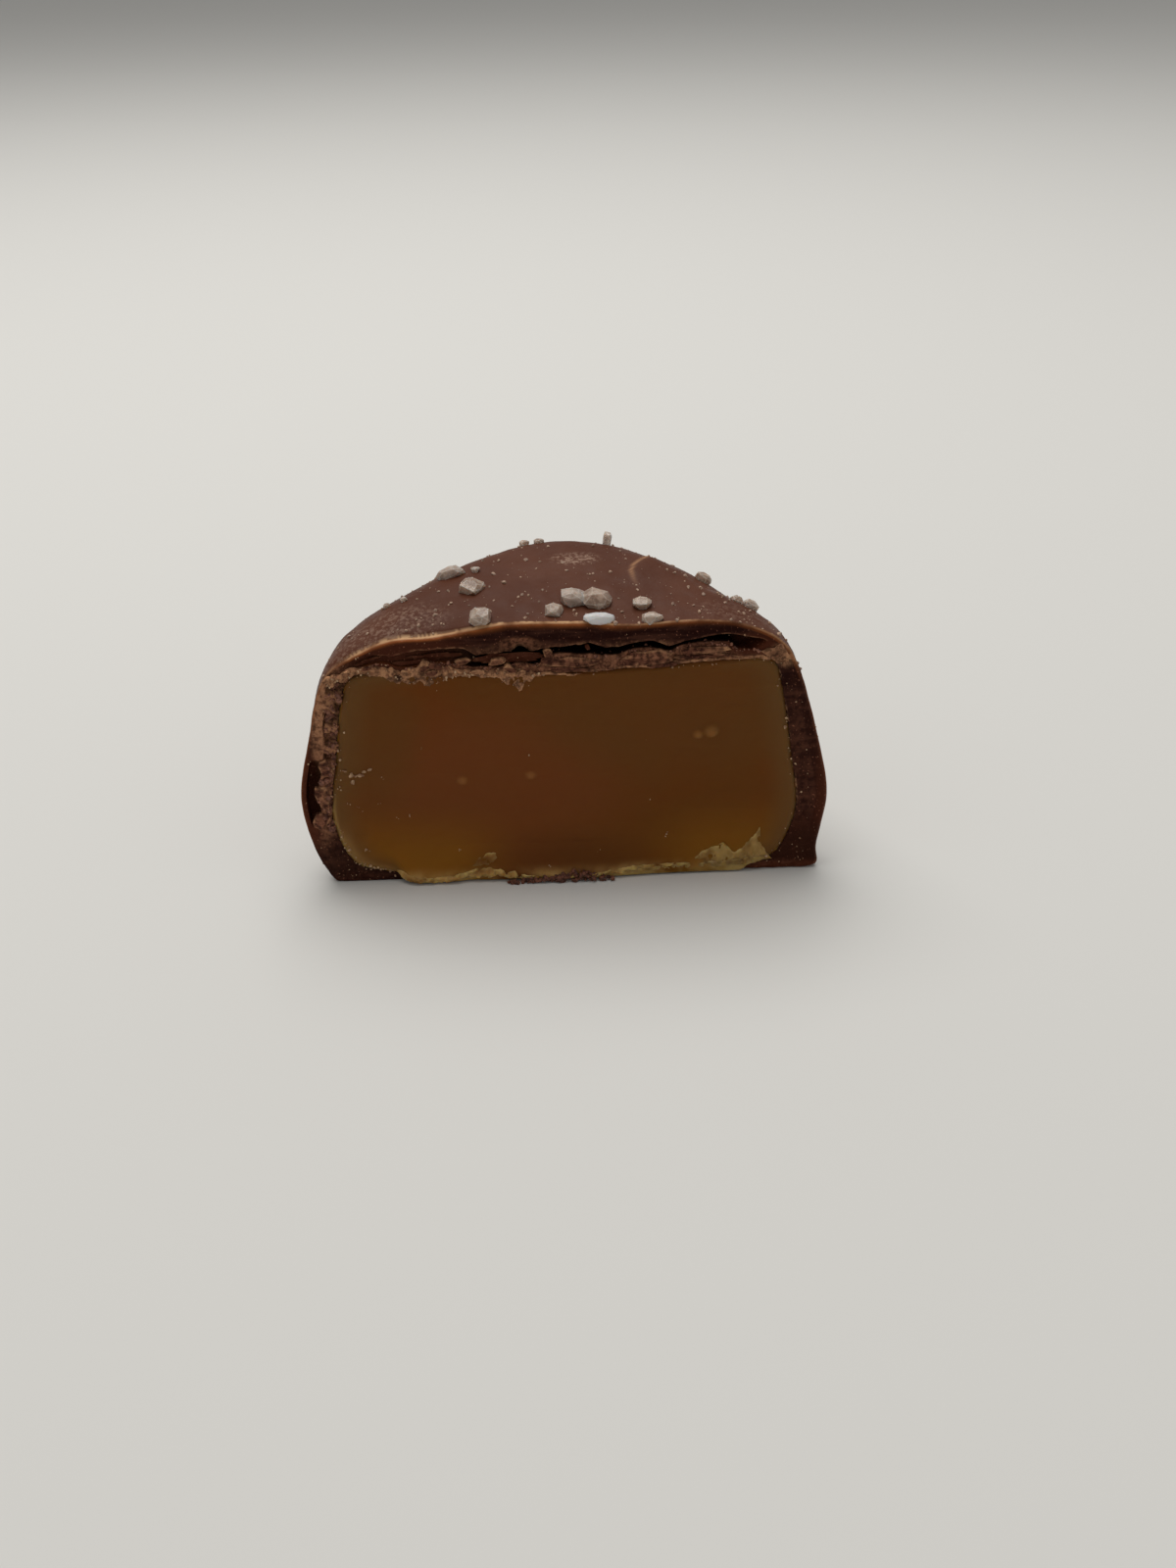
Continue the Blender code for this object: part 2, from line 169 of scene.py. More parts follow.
make_floor()
make_lamp()
make_room()
bpy.context.scene.view_settings.view_transform = "Standard"

# %% [markdown]
# Every finish here is procedural. A few short helpers keep the trees readable: one adds a node,
# one reads an attribute that the mesh code has written, one makes noise on object coordinates at a
# size in millimetres, and one mixes two colours by a factor.

# %% Shader helpers


def add(tree, kind, **settings):
    """Add a node, set its properties and the default values of its named inputs."""
    node = tree.nodes.new(kind)
    for key, value in settings.items():
        if key in node.inputs:
            node.inputs[key].default_value = value
        else:
            setattr(node, key, value)
    return node


def object_place(tree):
    """The place on the piece, in metres, which all noise here reads."""
    return add(tree, "ShaderNodeTexCoord").outputs["Object"]


def noise(tree, size_mm, detail=2.0, roughness=0.55, stretch=None):
    """Noise whose lumps are about size_mm across, as a value about 0.5."""
    node = add(tree, "ShaderNodeTexNoise", Scale=1.0 / (size_mm * MM), Detail=detail)
    node.inputs["Roughness"].default_value = roughness
    place = object_place(tree)
    if stretch:
        mapping = add(tree, "ShaderNodeMapping")
        mapping.inputs["Scale"].default_value = stretch
        tree.links.new(place, mapping.inputs["Vector"])
        place = mapping.outputs["Vector"]
    tree.links.new(place, node.inputs["Vector"])
    return node.outputs["Fac"]


def ramp(tree, value, low, high, to_low=0.0, to_high=1.0):
    """Map a value from low..high to to_low..to_high, clamped and smooth at both ends."""
    node = add(tree, "ShaderNodeMapRange", interpolation_type="SMOOTHSTEP")
    for index, number in enumerate((low, high, to_low, to_high), start=1):
        node.inputs[index].default_value = number
    tree.links.new(value, node.inputs[0])
    return node.outputs[0]


def attribute(tree, name):
    """A value that the mesh code has painted on the points."""
    return add(tree, "ShaderNodeAttribute", attribute_name=name).outputs["Fac"]


def maths(tree, operation, first, second):
    """One step of arithmetic on two values, each a number or a socket."""
    node = add(tree, "ShaderNodeMath", operation=operation)
    for socket, value in zip(node.inputs, (first, second)):
        if isinstance(value, (int, float)):
            socket.default_value = value
        else:
            tree.links.new(value, socket)
    return node.outputs[0]


def mix(tree, factor, first, second, blend="MIX"):
    """Mix two colours, each a tuple or a socket, by a factor."""
    node = add(tree, "ShaderNodeMix", data_type="RGBA", blend_type=blend)
    for socket, value in ((node.inputs[0], factor), (node.inputs[6], first), (node.inputs[7], second)):
        if isinstance(value, tuple):
            socket.default_value = (*value, 1.0)
        elif isinstance(value, float):
            socket.default_value = value
        else:
            tree.links.new(value, socket)
    return node.outputs[2]


# How far a facet's normal agrees with the rounded one: at a sharp edge, and clear of it.
AT_EDGE, OFF_EDGE = 0.965, 0.998


def edge_highlight(tree, width_mm, amount):
    """A factor that rises to amount where two facets meet at an edge, for a painted highlight."""
    rounded = add(tree, "ShaderNodeBevel", samples=4, Radius=width_mm * MM)
    facet = add(tree, "ShaderNodeNewGeometry")
    meet = add(tree, "ShaderNodeVectorMath", operation="DOT_PRODUCT")
    tree.links.new(rounded.outputs["Normal"], meet.inputs[0])
    tree.links.new(facet.outputs["True Normal"], meet.inputs[1])
    return ramp(tree, meet.outputs["Value"], AT_EDGE, OFF_EDGE, amount, 0.0)


def glow(shader, weight, radius, scale_mm):
    """Subsurface scattering, with a radius for each of red, green and blue."""
    shader.inputs["Subsurface Weight"].default_value = weight
    shader.inputs["Subsurface Radius"].default_value = radius
    shader.inputs["Subsurface Scale"].default_value = scale_mm * MM


def surface(tree, shader, colour, shine, roughness=None):
    """Join up a finish's colour, the strength of its highlight and how rough it is."""
    tree.links.new(colour, shader.inputs["Base Color"])
    shader.inputs["Specular IOR Level"].default_value = shine
    if roughness:
        tree.links.new(roughness, shader.inputs["Roughness"])


def bump(tree, shader, layers):
    """Chain bump layers, each a (height socket, depth in mm) pair, into the shader's normal."""
    last = None
    for height, depth_mm in layers:
        node = add(tree, "ShaderNodeBump", Distance=depth_mm * MM, Strength=1.0)
        tree.links.new(height, node.inputs["Height"])
        if last:
            tree.links.new(last, node.inputs["Normal"])
        last = node.outputs["Normal"]
    tree.links.new(last, shader.inputs["Normal"])


print("shader helpers ready")

# %% [markdown]
# Chocolate has two finishes. Where it set against the air it is satin, with a faint bloom, pores
# as fine as dust and paler scuffs. Where the knife broke it, it is matt and grainy: dark and smooth
# in the solid places, light and crumbly where it tore. Both are one family of browns, so the cut
# finish reads values that the mesh code paints: how red, crumbly and tan a place is, where the
# lip has its painted highlight with a painted orange glow behind it (smear and gold),
# and where painted shade lies in the gap and on the feet (deep).

# %% Chocolate finishes
SATIN_DARK = (0.083, 0.0268, 0.0134)
SATIN_LIGHT = (0.101, 0.0350, 0.0182)
SCUFF = (0.25, 0.150, 0.105)
CUT_DARK = (0.019, 0.0034, 0.0018)
# Painted shade, for the gap and the feet of the walls.
CUT_SHADE = (0.010, 0.0030, 0.0015)
CUT_RED = (0.070, 0.0165, 0.0065)
CUT_CRUMB = (0.290, 0.1120, 0.0640)
# The lip's painted highlight: a pale line along its edge.
LIP_HIGHLIGHT = (0.680, 0.4200, 0.2250)
# A painted orange glow under the lip's highlight and a painted sheen down the walls' outer edges; also the
# orange on the gap's floor at the left.
LIP_ORANGE = (0.260, 0.0750, 0.0200)
CUT_TAN = (0.620, 0.3300, 0.1650)
SATIN_ROUGHNESS, SATIN_SHINE = (0.40, 0.56), 0.07
CUT_ROUGHNESS, CUT_SHINE = (0.52, 0.74), 0.06


def satin_chocolate():
    """The outside: a faint bloom, pale scuffs, pores and slow waves."""
    made, tree, shader = new_material("satin_chocolate", SATIN_LIGHT, SATIN_ROUGHNESS[0])
    bloom = ramp(tree, noise(tree, 5.0, 3.0), 0.35, 0.68)
    colour = mix(tree, bloom, SATIN_DARK, SATIN_LIGHT)
    rubbed = ramp(tree, noise(tree, 0.35, 4.0, 0.7), 0.45, 0.62)
    colour = mix(tree, maths(tree, "MULTIPLY", attribute(tree, "scuff"), rubbed), colour, SCUFF)
    # Tan: the fold's painted highlight, and the cut's tan crumb along the edge.
    colour = mix(tree, attribute(tree, "tan"), colour, CUT_TAN)
    # The lip's painted highlight, which reaches onto the outside's edge.
    colour = mix(tree, attribute(tree, "smear"), colour, LIP_HIGHLIGHT)
    surface(tree, shader, colour, SATIN_SHINE, ramp(tree, noise(tree, 1.6, 3.0), 0.3, 0.7, *SATIN_ROUGHNESS))
    bump(tree, shader, [(noise(tree, 1.4, 2.0), 0.05), (noise(tree, 0.22, 3.0), 0.020)])
    return made


def cut_chocolate():
    """The broken inside: grain and streaks, with the painted tones over them."""
    made, tree, shader = new_material("cut_chocolate", CUT_DARK, CUT_ROUGHNESS[0])
    grain = noise(tree, 0.42, 5.0, 0.68)
    streak = noise(tree, 1.1, 3.0, 0.6, stretch=(0.35, 1.0, 2.2))
    colour = mix(tree, ramp(tree, streak, 0.45, 0.75, 0.0, 0.14), CUT_DARK, CUT_CRUMB)
    colour = mix(tree, attribute(tree, "red"), colour, CUT_RED)
    crumbly = maths(tree, "MULTIPLY", attribute(tree, "crumb"), ramp(tree, grain, 0.38, 0.62, 0.10, 1.0))
    colour = mix(tree, crumbly, colour, CUT_CRUMB)
    tan = maths(tree, "MULTIPLY", attribute(tree, "tan"), ramp(tree, grain, 0.40, 0.60, 0.30, 1.0))
    colour = mix(tree, tan, colour, CUT_TAN)
    # Gold: the painted glow under the lip, the painted sheen on the walls' outer edges, and the gap floor's
    # orange.
    colour = mix(tree, attribute(tree, "gold"), colour, LIP_ORANGE)
    # The lip's painted highlight.
    colour = mix(tree, attribute(tree, "smear"), colour, LIP_HIGHLIGHT)
    scratch = ramp(tree, noise(tree, 0.16, 3.0, 0.7, stretch=(1.0, 1.0, 0.4)), 0.60, 0.74, 0.0, 0.22)
    colour = mix(tree, scratch, colour, CUT_CRUMB)
    dots = ramp(tree, noise(tree, 0.20, 1.0), 0.66, 0.74, 0.0, 0.7)
    colour = mix(tree, dots, colour, CUT_CRUMB)
    # Painted shade in the gap and on the feet.
    colour = mix(tree, attribute(tree, "deep"), colour, CUT_SHADE)
    surface(tree, shader, colour, CUT_SHINE, ramp(tree, grain, 0.3, 0.7, *CUT_ROUGHNESS))
    bump(tree, shader, [(noise(tree, 0.9, 3.0), 0.09), (grain, 0.05)])
    return made


SATIN = satin_chocolate()
CUT = cut_chocolate()
print("chocolate finishes:", SATIN.name, CUT.name)

# %% [markdown]
# Caramel is a cloudy, amber, half-clear solid: light goes in, travels a few millimetres and comes
# out again, redder. Subsurface scattering gives that glow. The colour shifts from a red-brown in
# the middle to an olive gold where the block is thin, at its lower edge, and to a pale tan where
# the knife dragged it out into a thin smear full of air, and a painted shade darkens it towards its
# foot. Clouds of noise and six painted values (red, deep, gold, rim, shade and smear)
# place those tones.

# %% Caramel finish
CARAMEL_DEEP = (0.170, 0.0480, 0.0065)
CARAMEL_BROWN = (0.155, 0.0520, 0.0080)
CARAMEL_GOLD = (0.250, 0.0960, 0.0090)
CARAMEL_EDGE = (0.160, 0.0740, 0.0210)
CARAMEL_RED = (0.188, 0.0560, 0.0140)
# Painted shade for the caramel's foot.
CARAMEL_SHADE = (0.085, 0.0280, 0.0070)
CARAMEL_OLIVE = (0.150, 0.0590, 0.0130)
CARAMEL_SMEAR = (0.740, 0.4300, 0.1500)
CARAMEL_ROUGHNESS, CARAMEL_SHINE = (0.34, 0.50), 0.05
CARAMEL_GLOW = (0.45, (1.0, 0.42, 0.12), 2.2)
# The knife's stroke draws the noise out along x.
STROKE = (0.3, 1.0, 1.0)
RIPPLE = (0.25, 1.0, 1.0)


def caramel_finish():
    """Half-clear amber, its tones placed by clouds of noise and by painted values."""
    made, tree, shader = new_material("soft_caramel", CARAMEL_DEEP, CARAMEL_ROUGHNESS[0])
    cloud = ramp(tree, noise(tree, 9.0, 2.0), 0.38, 0.62)
    colour = mix(tree, cloud, CARAMEL_DEEP, CARAMEL_BROWN)
    colour = mix(tree, attribute(tree, "red"), colour, CARAMEL_RED)
    colour = mix(tree, attribute(tree, "deep"), colour, CARAMEL_OLIVE)
    colour = mix(tree, attribute(tree, "gold"), colour, CARAMEL_GOLD)
    colour = mix(tree, attribute(tree, "rim"), colour, CARAMEL_EDGE)
    colour = mix(tree, attribute(tree, "shade"), colour, CARAMEL_SHADE)
    cloudy = ramp(tree, noise(tree, 0.6, 4.0, 0.65), 0.25, 0.60, 0.70, 1.0)
    pale = maths(tree, "MULTIPLY", attribute(tree, "smear"), cloudy)
    colour = mix(tree, pale, colour, CARAMEL_SMEAR)
    glow(shader, *CARAMEL_GLOW)
    drawn = noise(tree, 0.8, 3.0, stretch=STROKE)
    surface(tree, shader, colour, CARAMEL_SHINE, ramp(tree, drawn, 0.3, 0.7, *CARAMEL_ROUGHNESS))
    bump(tree, shader, [(noise(tree, 1.8, 2.0, stretch=RIPPLE), 0.05), (noise(tree, 0.28, 3.0), 0.012)])
    return made


CARAMEL = caramel_finish()
print("caramel finish:", CARAMEL.name)

# %% [markdown]
# Salt crystals are clear but full of cracks, so they look grey and take on the brown beneath them.
# Partial transmission, scattering and dark veins do that, and the edges carry a painted white
# highlight. One crystal is nearly white all over, by a painted value. Dust and crumbs are too small
# for glassy effects, and matt colours with some noise are enough for them.

# %% Salt and crumb finishes
SALT_WARM = (0.58, 0.435, 0.335)
SALT_WHITE = (0.97, 0.95, 0.92)
SALT_VEIN = (0.29, 0.180, 0.122)
SALT_HIGHLIGHT = (0.90, 0.82, 0.73)
SALT_ROUGHNESS, SALT_SHINE, SALT_CLEAR, SALT_IOR = 0.22, 0.35, 0.34, 1.45
SALT_GLOW = (0.50, (1.0, 0.75, 0.60), 1.0)
# Width and strength of the painted highlight along the crystals' edges.
HIGHLIGHT_MM, HIGHLIGHT_AMOUNT = 0.14, 0.6
# The dark and the light colour of each kind of grain.
DUST_COLOURS = ((0.30, 0.20, 0.15), (0.50, 0.33, 0.22))
CRUMB_COLOURS = ((0.080, 0.0230, 0.0120), (0.300, 0.1200, 0.0680))
FOOT_CRUMB_COLOURS = ((0.052, 0.0135, 0.0065), (0.200, 0.0680, 0.0340))
TAN_CRUMB_COLOURS = ((0.26, 0.130, 0.065), (0.62, 0.410, 0.240))
GRAIN_ROUGHNESS = 0.7


def salt_finish():
    """Cloudy crystal with brown veins, a whitened one among them, and a painted highlight on its edges."""
    made, tree, shader = new_material("cloudy_salt", SALT_WARM, SALT_ROUGHNESS)
    veins = ramp(tree, noise(tree, 0.8, 4.0, 0.7), 0.38, 0.60, 0.80, 0.0)
    colour = mix(tree, veins, SALT_WARM, SALT_VEIN)
    colour = mix(tree, attribute(tree, "white"), colour, SALT_WHITE)
    # A painted highlight where facets meet.
    colour = mix(tree, edge_highlight(tree, HIGHLIGHT_MM, HIGHLIGHT_AMOUNT), colour, SALT_HIGHLIGHT)
    surface(tree, shader, colour, SALT_SHINE)
    glow(shader, *SALT_GLOW)
    shader.inputs["Transmission Weight"].default_value = SALT_CLEAR
    shader.inputs["IOR"].default_value = SALT_IOR
    bump(tree, shader, [(noise(tree, 0.35, 3.0), 0.06)])
    return made


def grain_finish(name, dark, light, size_mm):
    """A matt finish for dust and crumbs, mottled between two colours."""
    made, tree, shader = new_material(name, light, GRAIN_ROUGHNESS)
    colour = mix(tree, ramp(tree, noise(tree, size_mm, 3.0), 0.35, 0.65), dark, light)
    tree.links.new(colour, shader.inputs["Base Color"])
    bump(tree, shader, [(noise(tree, size_mm * 0.6, 3.0), 0.03)])
    return made


SALT_FINISH = salt_finish()
DUST_FINISH = grain_finish("salt_dust", *DUST_COLOURS, 0.4)
CRUMB_FINISH = grain_finish("chocolate_crumb", *CRUMB_COLOURS, 0.35)
FOOT_CRUMB_FINISH = grain_finish("foot_crumb", *FOOT_CRUMB_COLOURS, 0.35)
TAN_CRUMB_FINISH = grain_finish("caramel_crumb", *TAN_CRUMB_COLOURS, 0.4)
print("salt and crumb finishes ready")

# %% [markdown]
# The shape of the coat follows a rule. Three upright profiles are known: at the two ends of the
# cut and at the far corner. Going round by an angle, called the turn, one profile gives way to the
# next, while a formula for a square with soft corners pulls the sides in between the corners. All
# the functions take arrays, so a whole grid of points is made in one call.

# %% Profiles of the coat and the caramel
RIGHT_END = ((18.9, 0.0), (19.7, 0.4), (19.6, 2.2), (20.2, 6.9), (19.1, 12.3), (17.6, 17.5),
             (16.1, 20.1), (13.3, 21.5), (10.0, 22.0), (4.6, 21.8), (0.0, 22.1))
LEFT_END = ((18.8, 0.0), (19.6, 0.4), (20.9, 3.3), (21.55, 8.0), (20.4, 13.3), (19.3, 17.3),
            (17.4, 19.3), (14.0, 20.9), (10.4, 21.2), (5.2, 22.1), (0.0, 22.1))
FAR_CORNER = ((19.8, 0.0), (20.6, 0.5), (20.5, 2.7), (21.6, 7.5), (21.1, 12.5), (20.6, 17.8),
              (18.6, 20.7), (14.0, 23.5), (10.0, 23.7), (5.0, 23.0), (0.0, 22.1))
LEVELS_UP = len(RIGHT_END) - 1
COAT_REACH, CORNER_SOFT, CROWN_SOFT, LEFT_SOFTER = 20.5, 3.4, 9.0, 1.35
RIGHT_TURN, LEFT_TURN = 1.3, 0.6
WAVE = 0.20

CORE_RIGHT = ((14.6, 0.9), (16.4, 2.0), (17.6, 5.7), (17.1, 10.2), (16.1, 16.4), (15.2, 18.5),
              (12.5, 18.6), (6.5, 18.2), (0.0, 17.9))
CORE_LEFT = ((15.0, 0.9), (17.8, 2.0), (19.1, 6.0), (18.5, 10.5), (17.7, 15.8), (16.6, 18.0),
             (13.0, 18.2), (6.5, 17.9), (0.0, 17.9))
CORE_CORNER = ((15.2, 0.9), (17.2, 2.0), (18.4, 6.2), (18.1, 10.5), (17.5, 16.0), (16.2, 18.2),
               (12.5, 18.7), (6.5, 18.4), (0.0, 17.9))
CORE_LEVELS = len(CORE_RIGHT) - 1
CORE_REACH, CORE_SOFT = 18.3, 3.0
HALF_GAP = 0.15


def smooth(share):
    """0 below 0, 1 above 1 and an even S between them."""
    share = np.clip(share, 0.0, 1.0)
    return share * share * (3.0 - 2.0 * share)


def on_profile(points, level):
    """A smooth curve through the profile's points, at any array of levels."""
    points, level = np.array(points, float), np.asarray(level, float)
    last = len(points) - 1
    start = np.minimum(level.astype(int), last - 1)
    share = (level - start)[..., None]
    p1, p2 = points[start], points[start + 1]
    p0 = np.where((start > 0)[..., None], points[start - 1], 2 * p1 - p2)
    beyond = points[last - 1] * (-1.0, 1.0)
    p3 = np.where((start + 2 <= last)[..., None], points[np.minimum(start + 2, last)], beyond)
    return 0.5 * (2 * p1 + (p2 - p0) * share + (2 * p0 - 5 * p1 + 4 * p2 - p3) * share ** 2
                  + (3 * p1 - p0 - 3 * p2 + p3) * share ** 3)


def corner_share(turn, soft, reach):
    """Share of a corner's reach in the direction of turn, on a square with soft corners."""
    k = np.hypot(reach, soft) + soft
    inner = k * k * (k * k - 4.0 * soft * soft)
    root = np.sqrt(np.maximum(k ** 4 - np.cos(2.0 * turn) ** 2 * inner, 0.0))
    return np.sqrt(inner / (k * k + root)) / reach


def turned_profile(turn, level, right, left, corner):
    """Reach and height where the profile of one end gives way to the far corner's."""
    turn, level = np.broadcast_arrays(np.asarray(turn, float), np.asarray(level, float))
    on_right = turn < math.pi / 2
    power = np.where(on_right, RIGHT_TURN, LEFT_TURN)
    blend = (np.maximum(np.sin(turn), 0.0) ** power)[..., None]
    end = np.where(on_right[..., None], on_profile(right, level), on_profile(left, level))
    return end + (on_profile(corner, level) - end) * blend


def coat_point(turn, level):
    """Points on the outside of the chocolate, in mm from the foot of the cut's middle."""
    reach, height = np.moveaxis(turned_profile(turn, level, RIGHT_END, LEFT_END, FAR_CORNER), -1, 0)
    turn, level = np.broadcast_arrays(turn, level)
    soft = CORNER_SOFT + (CROWN_SOFT - CORNER_SOFT) * smooth((level - 3.5) / 2.5)
    soft = soft * np.where(turn > math.pi / 2, LEFT_SOFTER, 1.0)
    away_from_cut = smooth(np.sin(turn) / 0.35)
    on_wall = smooth((level - 0.5) / 2.0) * smooth((8.2 - level) / 3.0)
    wave = np.sin(7.0 * turn + 0.9) + 0.7 * np.sin(12.0 * turn + 0.5 * level + 2.0)
    reach = reach * corner_share(turn, soft, COAT_REACH) + WAVE * wave * away_from_cut * on_wall
    return np.stack([reach * np.cos(turn), reach * np.sin(turn), height], -1)


def core_point(turn, level, grow=HALF_GAP):
    """Points on the caramel, grown by half the gap so that it meets the coat."""
    ends = (CORE_RIGHT, CORE_LEFT, CORE_CORNER)
    turn, level = np.broadcast_arrays(np.asarray(turn, float), np.asarray(level, float))
    here = turned_profile(turn, level, *ends)
    below = turned_profile(turn, np.maximum(level - 0.05, 0.0), *ends)
    above = turned_profile(turn, np.minimum(level + 0.05, CORE_LEVELS), *ends)
    outward = np.stack([above[..., 1] - below[..., 1], below[..., 0] - above[..., 0]], -1)
    outward /= np.linalg.norm(outward, axis=-1, keepdims=True)
    pulled_in = here[..., 0] * corner_share(turn, CORE_SOFT, CORE_REACH)
    reach = np.maximum(pulled_in + grow * outward[..., 0], 0.0)
    height = here[..., 1] + grow * outward[..., 1]
    return np.stack([reach * np.cos(turn), reach * np.sin(turn), height], -1)


print("far corner in mm:", coat_point(math.pi / 2, 3.0).round(2))

# %% [markdown]
# Relief needs noise that the mesh code can read at any point. A small value noise is enough: random
# numbers sit on a lattice, and the eight round a point are blended smoothly. The lattice is drawn
# with a fixed seed, so the candy is the same each time the file runs.

# %% Noise for relief
LATTICE_SIZE, LATTICE_SEED = 32, 7
LATTICE = np.random.default_rng(LATTICE_SEED).random((LATTICE_SIZE,) * 3)
# Shifts that keep the lattice's cells clear of the candy's middle, and each layer clear of the last.
NOISE_SHIFT, CELL_SHIFT, LAYER_SHIFT = 11.7, 11.3, 5.3


def lumps(points, size, shift=0.0):
    """Value noise about 0, from -1 to 1, with lumps of the given size in mm (or sizes in x, y, z)."""
    place = np.asarray(points, float) / np.asarray(size, float) + NOISE_SHIFT + shift
    cell = np.floor(place).astype(int)
    share = smooth(place - cell)
    total = np.zeros(place.shape[:-1])
    for corner in np.ndindex(2, 2, 2):
        weight = np.ones(place.shape[:-1])
        for axis, step in enumerate(corner):
            weight = weight * (share[..., axis] if step else 1.0 - share[..., axis])
        index = tuple((cell[..., axis] + corner[axis]) % LATTICE_SIZE for axis in range(3))
        total += weight * LATTICE[index]
    return total * 2.0 - 1.0


def rough(points, size, shift=0.0, layers=3):
    """Lumps on lumps, each layer half the size and half the height."""
    size = np.asarray(size)
    return sum(lumps(points, size / 2 ** n, shift + LAYER_SHIFT * n) / 2 ** n for n in range(layers))


def cells(points, size):
    """A random value, 0 to 1, for each box of the given sizes that the points fall in."""
    place = np.asarray(points, float) / np.asarray(size, float) + CELL_SHIFT
    cell = np.floor(place).astype(int) % LATTICE_SIZE
    return LATTICE[cell[..., 0], cell[..., 1], cell[..., 2]]


def along(stations, place):
    """Values between stations of (place, value)."""
    places, values = np.array(stations).T
    index = np.clip(np.searchsorted(places, place) - 1, 0, len(places) - 2)
    share = smooth((place - places[index]) / (places[index + 1] - places[index]))
    return values[index] + (values[index + 1] - values[index]) * share


def patch(x, y, middle_x, middle_y, half_wide, half_high, reach=1.6):
    """A soft round patch: 1 in its middle and 0 outside it."""
    return smooth(reach - np.hypot((x - middle_x) / half_wide, (y - middle_y) / half_high))


print("noise at the crown:", rough(coat_point(1.0, 9.0), 3.0).round(3))

# %% [markdown]
# All big surfaces are grids of points, stitched to their neighbours along shared edges. A small
# collector gathers the grids, with a finish and some painted values for each, and welds them into
# one mesh. Grids are quick in Python, follow a formula exactly and keep their faces even.

# %% Mesh helpers
PAINTS = ("tan", "crumb", "red", "scuff", "smear", "gold", "rim", "deep", "shade")
WELD = 0.002
SLIVER = 1e-5


class Skin:
    """Grids of points in mm that become one welded mesh."""

    def __init__(self):
        self.points, self.faces, self.finish, self.count = [], [], [], 0
        self.paint = {name: [] for name in PAINTS}

    def grid(self, points, finish=0, **paint):
        """Add a grid of points, with the number of its finish and its painted values."""
        rows, columns = points.shape[:2]
        index = np.arange(rows * columns).reshape(rows, columns) + self.count
        corners = [index[:-1, :-1], index[1:, :-1], index[1:, 1:], index[:-1, 1:]]
        faces = np.stack(corners, -1).reshape(-1, 4)
        self.points.append(points.reshape(-1, 3))
        self.faces.append(faces)
        self.finish.append(np.full(len(faces), finish))
        for name in PAINTS:
            values = np.broadcast_to(paint.get(name, 0.0), (rows, columns))
            self.paint[name].append(values.reshape(-1))
        self.count += rows * columns

    def build(self, name, finishes):
        """Weld the grids, close what is still open in the first finish and return the object."""
        points = np.concatenate(self.points) + (CENTRE_X, CUT_Y, 0.0)
        mesh = bpy.data.meshes.new(name)
        mesh.from_pydata((points * MM).tolist(), [], np.concatenate(self.faces).tolist())
        mesh.polygons.foreach_set("material_index", np.concatenate(self.finish))
        for paint, values in self.paint.items():
            values = np.concatenate(values).astype(np.float32)
            if values.any():
                mesh.attributes.new(paint, "FLOAT", "POINT").data.foreach_set("value", values)
        work = bmesh.new()
        work.from_mesh(mesh)
        bmesh.ops.remove_doubles(work, verts=work.verts, dist=WELD * MM)
        bmesh.ops.dissolve_degenerate(work, edges=work.edges, dist=SLIVER * MM)
        open_edges = [edge for edge in work.edges if edge.is_boundary]
        if open_edges:
            filled = bmesh.ops.holes_fill(work, edges=open_edges, sides=0)
            for face in filled["faces"]:
                face.material_index = 0
            bmesh.ops.recalc_face_normals(work, faces=work.faces)
        work.to_mesh(mesh)
        work.free()
        mesh.shade_smooth()
        for finish in finishes:
            mesh.materials.append(finish)
        made = bpy.data.objects.new(name, mesh)
        bpy.context.scene.collection.objects.link(made)
        return made


def measure(made):
    """Print a piece's triangles and box, and the edges that aren't shared by two faces."""
    mesh = made.data
    places = np.empty(len(mesh.vertices) * 3)
    mesh.vertices.foreach_get("co", places)
    places = places.reshape(-1, 3) / MM
    uses = np.empty(len(mesh.loops), int)
    mesh.loops.foreach_get("edge_index", uses)
    open_count = int((np.bincount(uses, minlength=len(mesh.edges)) != 2).sum())
    triangles = len(mesh.loops) - 2 * len(mesh.polygons)
    print(f"{made.name}: {triangles} triangles, open edges {open_count},",
          places.min(0).round(2), places.max(0).round(2))


def settle(made, node_names):
    """Every piece rides on the one body, and the parts that it replaces are hidden."""
    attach(made, "root")
    if node_names:
        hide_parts(*node_names)
    measure(made)


print("mesh helpers ready")

# %% [markdown]
# First the outside of the coat. The turn runs closely near the cut, where the camera looks along
# the surface, and wider at the back. Low relief moves the points along the surface's normal: slow
# lumps that dipping leaves, finer ones near the foot, and a fold on the crown where a second skin
# of chocolate ran over the first. Just behind the cut the surface is drawn back a little, because
# the knife has broken the sharp edge into a narrow slanting lip.

# %% Outside of the coat
TURN_STEPS, LEVEL_STEPS = 128, 250
LIP_DEPTH = ((-19.5, 0.10), (-17.0, 0.30), (-12.0, 0.42), (-6.0, 0.38), (0.0, 0.34), (6.0, 0.20),
             (12.0, 0.22), (16.5, 0.12))
WALL_BEVEL_RIGHT, WALL_BEVEL_LEFT = 0.30, 0.10
FOLD = ((6.9, 11.6), (6.2, 9.6), (5.35, 8.4), (5.05, 7.3), (5.2, 6.0), (5.6, 4.6))
# The fold's height, front and slope, and the strength of its painted highlight in tan.
FOLD_HEIGHT, FOLD_FRONT, FOLD_SLOPE, FOLD_HIGHLIGHT_TAN = 0.14, 0.16, 2.2, 0.42
CROWN_HEIGHT, SHOULDER_HEIGHT = 19.0, 12.0
# Pale scuffs on the crown and the left shoulder: (x, y, half width, half depth, amount).
SCUFFS = ((0.6, 9.6, 1.7, 1.0, 1.7), (-13.5, 1.8, 3.6, 2.2, 0.6), (-17.0, 2.0, 2.4, 2.6, 0.5),
          (12.5, 2.0, 3.0, 1.6, 0.3))


